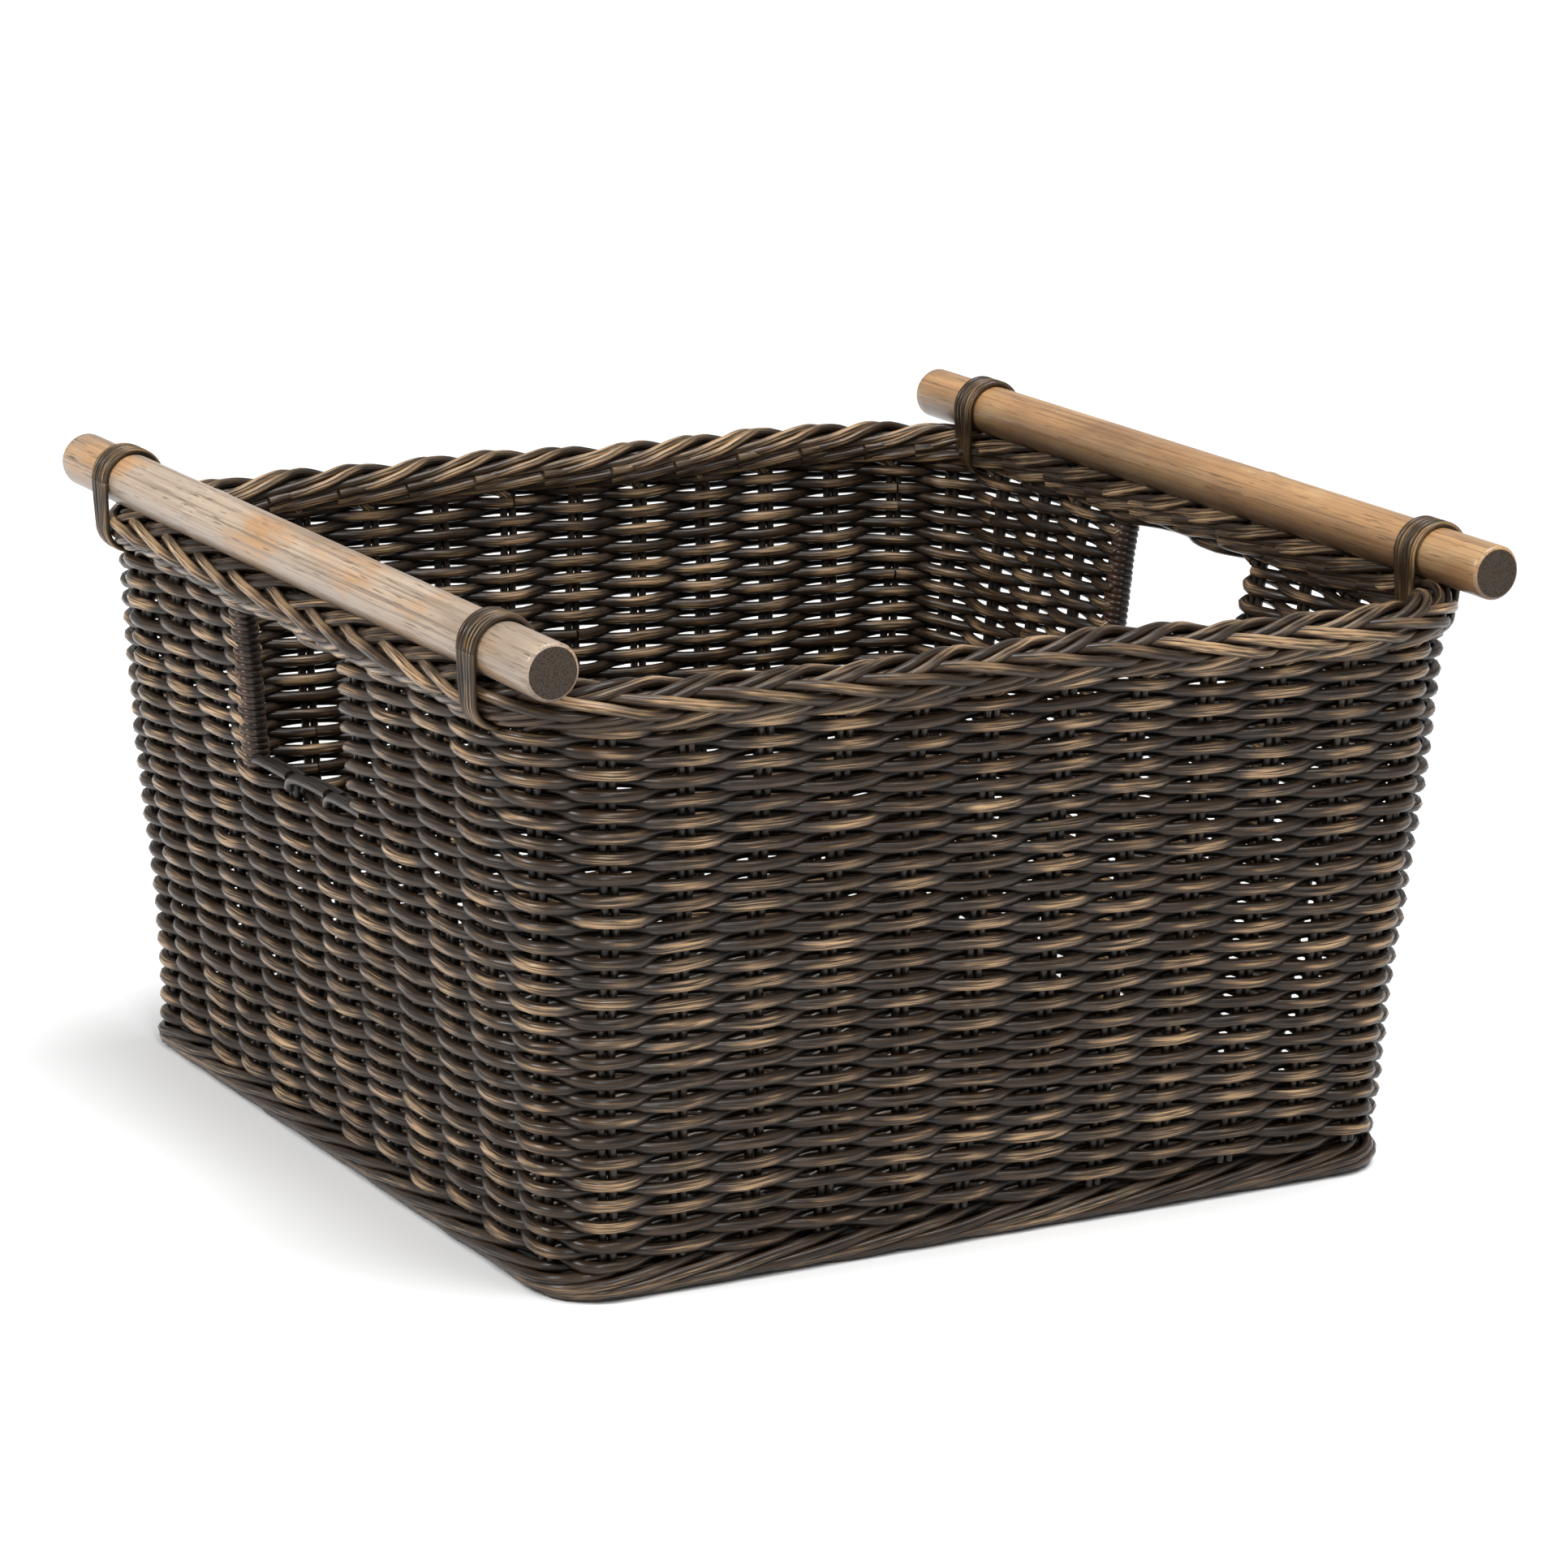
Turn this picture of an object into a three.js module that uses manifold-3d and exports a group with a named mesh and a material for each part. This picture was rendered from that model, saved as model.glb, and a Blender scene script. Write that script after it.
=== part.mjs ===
// A square wicker log basket: paired rod stakes stand in a woven wall that leans outwards, between a
// rolled foot border and a plaited top border, over a woven base. Two rattan poles are lashed on the
// border as carrying handles, and each end wall has a hand hole under its pole.
// Units are millimetres. +Z is up, the poles run along Y, and the origin is the middle of the footprint.
import * as THREE from "three";
import { ConvexGeometry } from "three/addons/geometries/ConvexGeometry.js";
import { mergeVertices } from "three/addons/utils/BufferGeometryUtils.js";
import Module from "manifold-3d";

// ---------------------------------------------------------------- driving dimensions
const FOOT_HALF_X = 224; // outside of the wall at the floor, half the length
const FOOT_HALF_Y = 222; // and half the depth
const FOOT_CORNER = 29; // outside corner radius there
const TOP_HALF_X = 253.5; // outside of the wall under the top border
const TOP_HALF_Y = 237;
const TOP_CORNER = 63;
const WALL_THICKNESS = 14.6;
const CLEARANCE = 0.3; // gap between pieces that touch

const FOOT_HEIGHT = 14;
const FOOT_PROUD = 2; // how far the foot border stands out of the wall
const FOOT_ROUND = 2; // rounding of the foot border's section
const WEAVE_TOP = 256; // where the stakes turn into the top border
const SILL_LEVEL = 178; // top of the weave under the hand holes

const BORDER_HEIGHT = 23.7;
const BORDER_PROUD = 5.5;
const BORDER_WIDTH = 26;
const BORDER_ROUND = 7; // rounding of the border's section

const BASE_UNDERSIDE = 4; // the base is held clear of the floor by the foot border
const BASE_THICKNESS = 9;

const STAKE_COUNT = 48; // pairs round the wall, a multiple of four
const ROD_DIAMETER = 4.2;
const ROD_SPACING = 4.6; // between the middles of a pair's two rods
const ROD_WAIST = 0.8; // half the pair's thickness between its rods, as a share of a rod's radius
const ROD_TURN = 0.9; // share of a rod's outer half circle that is drawn before the waist

const POLE_DIAMETER = 26;
const POLE_INSET = 14; // from the border's outside in to a pole's axis
const POLE_BEDDING = 2.7; // how deep a pole is drawn down into the border
const POLE_CHAMFER = 1.6;

const LASHING_WIDTH = 16;
const LASHING_THICKNESS = 3.3;
const LASHING_SETBACK = 48; // from the front or back wall's outside to the middle of a lashing, about

const JAMB_STAKE = 1; // the hand hole's jambs are the second stakes from the middle of an end wall
const JAMB_WRAP = 7.5; // the front weave's end beyond the middle of its jamb stake
const BINDING_WIDTH = 13; // flat binding round the back jamb stake, along the wall
const BINDING_DEPTH = 9;
const SILL_HEIGHT = 9;
const SILL_DEPTH = 12;
const SILL_ROUND = 2.5;

const CORNER_STEPS = 6; // facets of a wall corner
const BORDER_STEPS = 3; // of a rounded edge of a border
const SILL_STEPS = 2; // of a rounded edge of a sill
const ROUND_STEPS = 2; // of a quarter of a small round section
const POLE_STEPS = 28; // of a full turn of a pole
const LASHING_STEPS = 24; // and of a lashing
const MERGE_DISTANCE = 1e-3; // corners nearer to each other than this are one

// ---------------------------------------------------------------- sizes that follow
const BORDER_BOTTOM = WEAVE_TOP + CLEARANCE;
const BORDER_INSET = BORDER_PROUD - BORDER_WIDTH; // the border's inside, from the wall's outside
const WEAVE_BOTTOM = FOOT_HEIGHT + CLEARANCE;
const SILL_BOTTOM = SILL_LEVEL + CLEARANCE; // the sill and the upper weave stand on the lower weave
const BORDER_OUTSIDE_X = TOP_HALF_X + BORDER_PROUD;
const POLE_LENGTH = 2 * (TOP_HALF_Y + BORDER_PROUD); // the poles end flush with the border
const POLE_OFFSET = BORDER_OUTSIDE_X - POLE_INSET;
const POLE_AXIS_HEIGHT = BORDER_BOTTOM + BORDER_HEIGHT + POLE_DIAMETER / 2 - POLE_BEDDING;
const FAR = 4 * TOP_HALF_X; // longer than anything that is cut

// ---------------------------------------------------------------- materials
const finish = (color, roughness) => new THREE.MeshStandardMaterial({ color, roughness, metalness: 0 });
const WEAVER_FINISH = finish(0x4a3526, 0.5);
const STAKE_FINISH = finish(0x33251b, 0.55);
const BORDER_FINISH = finish(0x46321f, 0.5);
const BASE_FINISH = finish(0x3a2a1d, 0.6);
const GREY_POLE_FINISH = finish(0x8f7c63, 0.45);
const BROWN_POLE_FINISH = finish(0x9a6a3c, 0.4);
const LASHING_FINISH = finish(0x5b4630, 0.45);

const basket = new THREE.Group();

function place(name, geometry, material) {
  const mesh = new THREE.Mesh(geometry, material.clone());
  mesh.name = name;
  basket.add(mesh);
  return mesh;
}

// ---------------------------------------------------------------- joining and cutting
const wasm = await Module();
wasm.setup();

function solidOf(geometry) {
  const bare = geometry.clone();
  bare.deleteAttribute("normal");
  bare.deleteAttribute("uv");
  const merged = mergeVertices(bare, MERGE_DISTANCE);
  return new wasm.Manifold(
    new wasm.Mesh({
      numProp: 3,
      vertProperties: merged.attributes.position.array,
      triVerts: new Uint32Array(merged.index.array),
    }),
  );
}

function geometryOf(solid) {
  const mesh = solid.getMesh();
  const geometry = new THREE.BufferGeometry();
  geometry.setAttribute("position", new THREE.BufferAttribute(mesh.vertProperties, 3));
  geometry.setIndex(new THREE.BufferAttribute(mesh.triVerts, 1));
  return geometry;
}

function cut(geometry, tools) {
  let solid = solidOf(geometry);
  for (const tool of tools) solid = solid.subtract(solidOf(tool));
  return geometryOf(solid);
}

function join(geometries) {
  const [first, ...others] = geometries.map(solidOf);
  return geometryOf(others.reduce((whole, part) => whole.add(part), first));
}

// ---------------------------------------------------------------- the wall's shape
// The wall's outside at a height: a rounded rectangle that grows evenly from the foot to the border.
function wallSection(z) {
  const share = z / WEAVE_TOP;
  return {
    halfX: THREE.MathUtils.lerp(FOOT_HALF_X, TOP_HALF_X, share),
    halfY: THREE.MathUtils.lerp(FOOT_HALF_Y, TOP_HALF_Y, share),
    corner: THREE.MathUtils.lerp(FOOT_CORNER, TOP_CORNER, share),
  };
}

// The point of the wall's outside at a share of the way round from the middle of the +X wall, with the
// direction that faces out of the wall there.
function wallPlace(share, z) {
  const { halfX, halfY, corner } = wallSection(z);
  const endRun = halfY - corner;
  const arc = (Math.PI / 2) * corner;
  const sideRun = halfX - corner;
  const quarter = endRun + arc + sideRun;
  const turns = Math.floor(share * 4);
  const mirrored = turns % 2 === 1; // every second quarter runs the other way
  const along = (share * 4 - turns) * quarter;
  const way = mirrored ? quarter - along : along;
  let x = halfX;
  let y = way;
  let angle = 0;
  if (way > endRun + arc) {
    x = sideRun - (way - endRun - arc);
    y = halfY;
    angle = Math.PI / 2;
  } else if (way > endRun) {
    angle = (way - endRun) / corner;
    x = sideRun + corner * Math.cos(angle);
    y = endRun + corner * Math.sin(angle);
  }
  const signX = turns === 1 || turns === 2 ? -1 : 1;
  const signY = turns >= 2 ? -1 : 1;
  return {
    point: new THREE.Vector2(signX * x, signY * y),
    out: new THREE.Vector2(signX * Math.cos(angle), signY * Math.sin(angle)),
  };
}

// The rounded rectangle that lies a distance outside the wall's outside at a height.
function outline(offset, z) {
  const { halfX, halfY, corner } = wallSection(z);
  const points = [];
  for (let quadrant = 0; quadrant < 4; quadrant++) {
    const signX = quadrant === 0 || quadrant === 3 ? 1 : -1;
    const signY = quadrant < 2 ? 1 : -1;
    for (let step = 0; step <= CORNER_STEPS; step++) {
      const angle = (quadrant + step / CORNER_STEPS) * (Math.PI / 2);
      points.push(
        new THREE.Vector2(
          signX * (halfX - corner) + (corner + offset) * Math.cos(angle),
          signY * (halfY - corner) + (corner + offset) * Math.sin(angle),
        ),
      );
    }
  }
  return points;
}

// A closed upright band round the wall between two heights. Its sides are two offsets from the wall's
// outside at a height of its own, and its section may be rounded.
function uprightBand(outer, inner, bottom, top, round, outlineHeight) {
  const shape = new THREE.Shape(outline(outer - round, outlineHeight));
  shape.holes.push(new THREE.Path(outline(inner + round, outlineHeight).reverse()));
  const geometry = new THREE.ExtrudeGeometry(shape, {
    depth: top - bottom - 2 * round,
    bevelEnabled: round > 0,
    bevelThickness: round,
    bevelSize: round,
    bevelSegments: BORDER_STEPS,
  });
  return geometry.translate(0, 0, bottom + round);
}

// Moves each point of a band that was drawn upright over its own bottom outline out with the wall.
function lean(geometry, bottom) {
  const drawn = wallSection(bottom);
  const points = geometry.attributes.position;
  for (let i = 0; i < points.count; i++) {
    const here = new THREE.Vector2(points.getX(i), points.getY(i));
    const now = wallSection(points.getZ(i));
    const core = new THREE.Vector2(drawn.halfX - drawn.corner, drawn.halfY - drawn.corner);
    const nearest = here.clone().clamp(core.clone().negate(), core);
    const away = here.clone().sub(nearest);
    const offset = away.length() - drawn.corner;
    const grown = new THREE.Vector2(now.halfX - now.corner, now.halfY - now.corner).divide(core);
    nearest.multiply(grown).add(away.setLength(now.corner + offset));
    points.setXY(i, nearest.x, nearest.y);
  }
  return geometry;
}

function leaningBand(outer, inner, bottom, top, round = 0) {
  return lean(uprightBand(outer, inner, bottom, top, round, bottom), bottom);
}

// ---------------------------------------------------------------- foot and base
const footBand = leaningBand(FOOT_PROUD, -WALL_THICKNESS, 0, FOOT_HEIGHT, FOOT_ROUND);
place("foot_border", footBand, BORDER_FINISH);

function baseMat() {
  const edge = outline(-WALL_THICKNESS - CLEARANCE, BASE_UNDERSIDE);
  const geometry = new THREE.ExtrudeGeometry(new THREE.Shape(edge), {
    depth: BASE_THICKNESS,
    bevelEnabled: false,
  });
  return geometry.translate(0, 0, BASE_UNDERSIDE);
}
place("base_mat", baseMat(), BASE_FINISH);

// ---------------------------------------------------------------- stakes
// The section of a stake: two rods side by side along the wall, with a waist between them.
function pairSection(grown = 0) {
  const radius = ROD_DIAMETER / 2 + grown;
  const waist = radius * ROD_WAIST;
  const points = [];
  for (const side of [1, -1]) {
    for (let step = -ROUND_STEPS; step <= ROUND_STEPS; step++) {
      const angle = (step / ROUND_STEPS) * (Math.PI / 2) * ROD_TURN;
      points.push(
        new THREE.Vector2(
          side * (ROD_SPACING / 2 + radius * Math.cos(angle)),
          side * radius * Math.sin(angle),
        ),
      );
    }
    points.push(new THREE.Vector2(0, side * waist));
  }
  return points;
}

const stakeShare = (index) => (index + 0.5) / STAKE_COUNT;

// Where a stake's straight line up the wall's outside is at a height, and the way that it faces, which
// is the same all the way up.
function stakeLine(index, z) {
  const low = wallPlace(stakeShare(index), 0);
  const high = wallPlace(stakeShare(index), WEAVE_TOP);
  return {
    point: low.point.lerp(high.point, z / WEAVE_TOP),
    out: low.out.add(high.out).normalize(),
  };
}

// A straight piece that follows a stake's line, drawn along the wall (x, clockwise from above) and out
// of it (y).
function alongStake(section, index, bottom, top) {
  const geometry = new THREE.ExtrudeGeometry(new THREE.Shape(section), {
    depth: top - bottom,
    bevelEnabled: false,
  });
  geometry.translate(0, 0, bottom);
  const points = geometry.attributes.position;
  for (let i = 0; i < points.count; i++) {
    const { point, out } = stakeLine(index, points.getZ(i));
    const depth = points.getY(i) - WALL_THICKNESS / 2;
    const along = points.getX(i);
    points.setXY(i, point.x + out.x * depth + out.y * along, point.y + out.y * depth - out.x * along);
  }
  return geometry;
}

const stakeRod = (index, top) => alongStake(pairSection(), index, WEAVE_BOTTOM, top);
const stakeChannel = (index) => alongStake(pairSection(CLEARANCE), index, 0, WEAVE_TOP + BORDER_HEIGHT);

// The hand holes interrupt the stakes in the middle of the +X wall and of the -X wall.
const half = STAKE_COUNT / 2;
const stakes = [...Array(STAKE_COUNT).keys()];
const stepsFromWallMiddle = (index) => {
  const fromMiddle = Math.min(index, STAKE_COUNT - 1 - index);
  return fromMiddle < half / 2 ? fromMiddle : half - 1 - fromMiddle;
};
const isCutShort = (index) => stepsFromWallMiddle(index) < JAMB_STAKE;
const isJamb = (index) => stepsFromWallMiddle(index) === JAMB_STAKE;
const stands = (index) => !isCutShort(index);

stakes.filter(stands).forEach((index) => {
  const name = "stake_pair_" + String(index + 1).padStart(2, "0");
  place(name, stakeRod(index, WEAVE_TOP), STAKE_FINISH);
});

// ---------------------------------------------------------------- woven wall
const channels = stakes.map(stakeChannel);
const lowerBand = leaningBand(0, -WALL_THICKNESS, WEAVE_BOTTOM, SILL_LEVEL);
place("lower_weave", cut(lowerBand, channels), WEAVER_FINISH);

function slabBeyond(y, side) {
  const slab = new THREE.BoxGeometry(FAR, FAR, FAR);
  return slab.translate(0, y + (side * FAR) / 2, 0);
}

// A lashing passes through the wall halfway between two stakes, in the gap nearest to its setback.
function lashingPlace() {
  const wanted = TOP_HALF_Y - LASHING_SETBACK;
  const stakeY = (index) => stakeLine(index, WEAVE_TOP).point.y;
  const gaps = [...Array(STAKE_COUNT / 4 - 1).keys()].map((k) => (stakeY(k) + stakeY(k + 1)) / 2);
  return gaps.reduce((best, y) => (Math.abs(y - wanted) < Math.abs(best - wanted) ? y : best));
}
const LASHING_Y = lashingPlace();

// How far from the middle of the basket the border's inside is at a place along an end wall. The border
// curves in towards its corner in flat facets, whose middles are nearer the corner's centre.
function borderInsideX(y) {
  const { halfX, halfY, corner } = wallSection(WEAVE_TOP);
  const turn = (corner + BORDER_INSET) * Math.cos(Math.PI / 4 / CORNER_STEPS);
  const pastStraight = Math.max(0, y - (halfY - corner));
  return halfX - corner + Math.sqrt(turn ** 2 - pastStraight ** 2);
}

// The form that a cord makes when it is drawn tight round the pole and the four rounded corners of the
// border's section, grown all round by a distance. It is upright at one end of a pole.
function tightForm(grown, width, signX, signY) {
  const inside = borderInsideX(LASHING_Y + LASHING_WIDTH / 2);
  const across = [inside + BORDER_ROUND, BORDER_OUTSIDE_X - BORDER_ROUND];
  const up = [BORDER_BOTTOM + BORDER_ROUND, BORDER_BOTTOM + BORDER_HEIGHT - BORDER_ROUND];
  const forms = across.flatMap((x) => up.map((z) => ({ x, z, radius: BORDER_ROUND })));
  forms.push({ x: POLE_OFFSET, z: POLE_AXIS_HEIGHT, radius: POLE_DIAMETER / 2 });
  const points = [];
  const fullTurn = 2 * Math.PI;
  for (const { x, z, radius } of forms) {
    for (let step = 0; step < LASHING_STEPS; step++) {
      const angle = (step / LASHING_STEPS) * fullTurn;
      const alongX = x + (radius + grown) * Math.cos(angle);
      const alongZ = z + (radius + grown) * Math.sin(angle);
      for (const alongY of [-width / 2, width / 2]) {
        points.push(new THREE.Vector3(signX * alongX, signY * LASHING_Y + alongY, alongZ));
      }
    }
  }
  return new ConvexGeometry(points);
}

function lashing(signX, signY) {
  const outer = tightForm(CLEARANCE + LASHING_THICKNESS, LASHING_WIDTH, signX, signY);
  return cut(outer, [tightForm(CLEARANCE, 2 * LASHING_WIDTH, signX, signY)]);
}

function lashingSlot(signX, signY) {
  const grown = 2 * CLEARANCE + LASHING_THICKNESS;
  return tightForm(grown, LASHING_WIDTH + 2 * CLEARANCE, signX, signY);
}

const sides = [
  { side: "left", signX: -1 },
  { side: "right", signX: 1 },
];
const ends = [
  { end: "front", signY: -1 },
  { end: "back", signY: 1 },
];
const corners = sides.flatMap((a) => ends.map((b) => ({ ...a, ...b })));
const jambFoot = stakeLine(JAMB_STAKE, SILL_BOTTOM).point.y; // the jamb stakes lean apart
const jambHead = stakeLine(JAMB_STAKE, WEAVE_TOP).point.y;
const frontEdge = JAMB_WRAP - jambFoot;
const backEdge = jambHead + BINDING_WIDTH / 2 + CLEARANCE;

const upperBand = leaningBand(0, -WALL_THICKNESS, SILL_BOTTOM, WEAVE_TOP);
const slots = corners.map(({ signX, signY }) => lashingSlot(signX, signY));
const upperTools = [...stakes.filter(stands).map(stakeChannel), ...slots];
place("upper_weave_front", cut(upperBand, [...upperTools, slabBeyond(frontEdge, 1)]), WEAVER_FINISH);
place("upper_weave_back", cut(upperBand, [...upperTools, slabBeyond(backEdge, -1)]), WEAVER_FINISH);

// ---------------------------------------------------------------- hand holes
function ovalSection(width, depth) {
  const round = depth / 2;
  const points = [];
  for (const side of [1, -1]) {
    for (let step = -ROUND_STEPS; step <= ROUND_STEPS; step++) {
      const angle = (step / ROUND_STEPS) * (Math.PI / 2);
      const x = side * (width / 2 - round + round * Math.cos(angle));
      points.push(new THREE.Vector2(x, side * round * Math.sin(angle)));
    }
  }
  return points;
}

// Flat binding wound round the back jamb stake of each hand hole.
sides.forEach(({ side, signX }) => {
  const index = stakes.find((k) => {
    const { x, y } = stakeLine(k, SILL_LEVEL).point;
    return isJamb(k) && y > 0 && Math.sign(x) === signX;
  });
  const section = ovalSection(BINDING_WIDTH, BINDING_DEPTH);
  const sleeve = alongStake(section, index, SILL_BOTTOM, WEAVE_TOP);
  place(side + "_jamb_binding", cut(sleeve, [stakeChannel(index)]), WEAVER_FINISH);
});

// The sill: stakes cut short under the hole, with their tops turned down and lapped along it.
sides.forEach(({ side, signX }) => {
  const near = frontEdge + CLEARANCE;
  const far = jambFoot - BINDING_WIDTH / 2 - CLEARANCE;
  const width = SILL_DEPTH - 2 * SILL_ROUND;
  const height = SILL_HEIGHT - 2 * SILL_ROUND;
  const section = new THREE.Shape([
    new THREE.Vector2(-width / 2, 0),
    new THREE.Vector2(width / 2, 0),
    new THREE.Vector2(width / 2, height),
    new THREE.Vector2(-width / 2, height),
  ]);
  const bar = new THREE.ExtrudeGeometry(section, {
    depth: far - near - 2 * SILL_ROUND,
    bevelEnabled: true,
    bevelThickness: SILL_ROUND,
    bevelSize: SILL_ROUND,
    bevelSegments: SILL_STEPS,
  });
  bar.rotateX(Math.PI / 2); // the bar now runs towards -y
  const wallMiddle = wallSection(SILL_LEVEL + SILL_HEIGHT / 2).halfX - WALL_THICKNESS / 2;
  bar.translate(signX * wallMiddle, far - SILL_ROUND, SILL_BOTTOM + SILL_ROUND);
  const shortStakes = stakes.filter((index) => {
    return isCutShort(index) && Math.sign(stakeLine(index, 0).point.x) === signX;
  });
  const rods = shortStakes.map((index) => stakeRod(index, SILL_BOTTOM + SILL_HEIGHT / 2));
  place(side + "_hole_sill", join([bar, ...rods]), STAKE_FINISH);
});

// ---------------------------------------------------------------- top border, poles and lashings
function pole(grown = 0) {
  const radius = POLE_DIAMETER / 2 + grown;
  const end = POLE_LENGTH / 2 + grown;
  const profile = [
    new THREE.Vector2(0, -end),
    new THREE.Vector2(radius - POLE_CHAMFER, -end),
    new THREE.Vector2(radius, -end + POLE_CHAMFER),
    new THREE.Vector2(radius, end - POLE_CHAMFER),
    new THREE.Vector2(radius - POLE_CHAMFER, end),
    new THREE.Vector2(0, end),
  ];
  return new THREE.LatheGeometry(profile, POLE_STEPS);
}

const poleSeats = sides.map(({ signX }) => {
  return pole(CLEARANCE).translate(signX * POLE_OFFSET, 0, POLE_AXIS_HEIGHT);
});
const borderBand = uprightBand(
  BORDER_PROUD,
  BORDER_INSET,
  BORDER_BOTTOM,
  BORDER_BOTTOM + BORDER_HEIGHT,
  BORDER_ROUND,
  WEAVE_TOP,
);
place("top_border", cut(borderBand, poleSeats), BORDER_FINISH);

sides.forEach(({ side, signX }) => {
  const material = side === "left" ? GREY_POLE_FINISH : BROWN_POLE_FINISH;
  const mesh = place(side + "_pole_handle", pole(), material);
  mesh.position.set(signX * POLE_OFFSET, 0, POLE_AXIS_HEIGHT);
});

corners.forEach(({ side, end, signX, signY }) => {
  place(side + "_" + end + "_lashing", lashing(signX, signY), LASHING_FINISH);
});

export default basket;
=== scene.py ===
# %% [markdown]
# # A wicker log basket
# A rectangular basket for firewood: 48 pairs of upright stakes, a wall of round
# rattan woven in and out of them, a plaited border at the rim, a lapped border
# at the foot, a woven base, a hand hole in each end and a thick rattan pole
# lashed along each end of the rim.
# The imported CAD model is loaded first. It is the frame that every piece fits,
# and the pieces take their places from its boxes.

# %% Load the frame
import math

import bpy
import numpy as np
from mathutils import Matrix, Vector


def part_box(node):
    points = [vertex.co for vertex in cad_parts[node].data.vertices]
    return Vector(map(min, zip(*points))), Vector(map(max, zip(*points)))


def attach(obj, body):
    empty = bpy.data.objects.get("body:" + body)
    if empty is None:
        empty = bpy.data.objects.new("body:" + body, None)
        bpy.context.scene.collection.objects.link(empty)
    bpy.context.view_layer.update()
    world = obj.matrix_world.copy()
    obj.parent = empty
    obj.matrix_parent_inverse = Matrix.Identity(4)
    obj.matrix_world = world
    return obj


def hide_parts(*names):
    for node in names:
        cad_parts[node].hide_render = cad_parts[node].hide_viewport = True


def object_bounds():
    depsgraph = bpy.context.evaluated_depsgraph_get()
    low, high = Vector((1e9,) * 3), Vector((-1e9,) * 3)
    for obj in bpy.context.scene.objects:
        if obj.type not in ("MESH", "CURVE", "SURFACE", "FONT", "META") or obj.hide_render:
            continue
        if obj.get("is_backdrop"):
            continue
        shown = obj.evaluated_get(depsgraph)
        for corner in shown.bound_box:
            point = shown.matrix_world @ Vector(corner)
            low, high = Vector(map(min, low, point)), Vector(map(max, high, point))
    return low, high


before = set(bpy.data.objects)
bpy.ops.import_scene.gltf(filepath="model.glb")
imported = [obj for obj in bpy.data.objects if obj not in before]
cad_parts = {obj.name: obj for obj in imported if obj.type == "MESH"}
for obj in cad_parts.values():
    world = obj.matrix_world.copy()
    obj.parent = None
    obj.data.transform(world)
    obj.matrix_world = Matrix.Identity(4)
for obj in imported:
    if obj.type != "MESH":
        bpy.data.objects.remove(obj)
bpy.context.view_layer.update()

# %% [markdown]
# ## The sizes the basket is made to
# The wall leans out a little from foot to rim and its corners open up, so the
# two outlines below are the same pair that the CAD wall is drawn between.
# The heights come from the boxes of the CAD nodes.

# %% Sizes in metres
MM = 0.001
STAKE_COUNT = 48
FOOT_OUTLINE = (224 * MM, 222 * MM, 29 * MM)      # half length, half width, corner radius
TOP_OUTLINE = (253.5 * MM, 237 * MM, 63 * MM)
WALL_THICKNESS = 14.6 * MM
STAKE_RADIUS = 2.1 * MM
STAKE_SPACING = 4.6 * MM
WEAVER_RADIUS = 2.95 * MM
WEAVER_LIFT = WALL_THICKNESS / 2 - WEAVER_RADIUS  # a weaver's middle, off the wall's middle
ROWS = 52

weave_low, sill_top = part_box("lower_weave")[0].z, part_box("lower_weave")[1].z
weave_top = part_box("upper_weave_front")[1].z
border_low, border_high = (corner.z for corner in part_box("top_border"))
row_height = (weave_top - weave_low) / ROWS
lower_rows = round((sill_top - weave_low) / row_height)
print(f"{ROWS} rows of {row_height / MM:.2f} mm, {lower_rows} of them under the hand holes")

# %% [markdown]
# ## Where a point of the wall is
# Every rod follows the wall, so one pair of helpers turns "which stake, how
# high, how far out" into a place. A stake runs straight between the foot
# outline and the top outline, and the border stands upright over the top one.

# %% The wall's own coordinates
CORNER_STEPS = 24


def outline(share, half_x, half_y, corner):
    """Points and outward directions by the share of the way round a rounded rectangle."""
    points, outs = [[(half_x, 0.0)]], [[(1.0, 0.0)]]
    for quarter, (side_x, side_y) in enumerate([(1, 1), (-1, 1), (-1, -1), (1, -1)]):
        angle = (np.linspace(0, 1, CORNER_STEPS) + quarter) * math.pi / 2
        out = np.stack([np.cos(angle), np.sin(angle)], 1)
        middle = np.array([side_x * (half_x - corner), side_y * (half_y - corner)])
        points.append(middle + corner * out)
        outs.append(out)
    points = np.concatenate(points + points[:1])
    outs = np.concatenate(outs + outs[:1])
    way = np.concatenate([[0], np.cumsum(np.linalg.norm(np.diff(points, axis=0), axis=1))])
    at = np.mod(share, 1) * way[-1]
    return (np.stack([np.interp(at, way, points[:, i]) for i in (0, 1)], -1),
            np.stack([np.interp(at, way, outs[:, i]) for i in (0, 1)], -1))


def wall(stake, z):
    """Middle of the wall at stake number stake (any fraction) and height z, and outward there."""
    stake, z = np.broadcast_arrays(np.asarray(stake, float), np.asarray(z, float))
    share = (stake + 0.5) / STAKE_COUNT
    foot, foot_out = outline(share, *FOOT_OUTLINE)
    top, top_out = outline(share, *TOP_OUTLINE)
    rise = np.minimum(z / weave_top, 1)[..., None]
    out = foot_out + top_out
    out = out / np.linalg.norm(out, axis=-1, keepdims=True)
    flat = foot + (top - foot) * rise - out * WALL_THICKNESS / 2
    return np.concatenate([flat, z[..., None]], -1), np.concatenate([out, 0 * z[..., None]], -1)


def beside(out):
    """The level direction along the wall, a quarter turn to the left of outward."""
    return np.stack([-out[:, 1], out[:, 0], 0 * out[:, 0]], 1)


rim = wall(np.arange(0, STAKE_COUNT + 0.1, 0.25), weave_top)[0]
STAKE_PITCH = np.linalg.norm(np.diff(rim, axis=0), axis=1).sum() / STAKE_COUNT
print(f"stakes stand {STAKE_PITCH / MM:.1f} mm apart at the rim")

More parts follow.
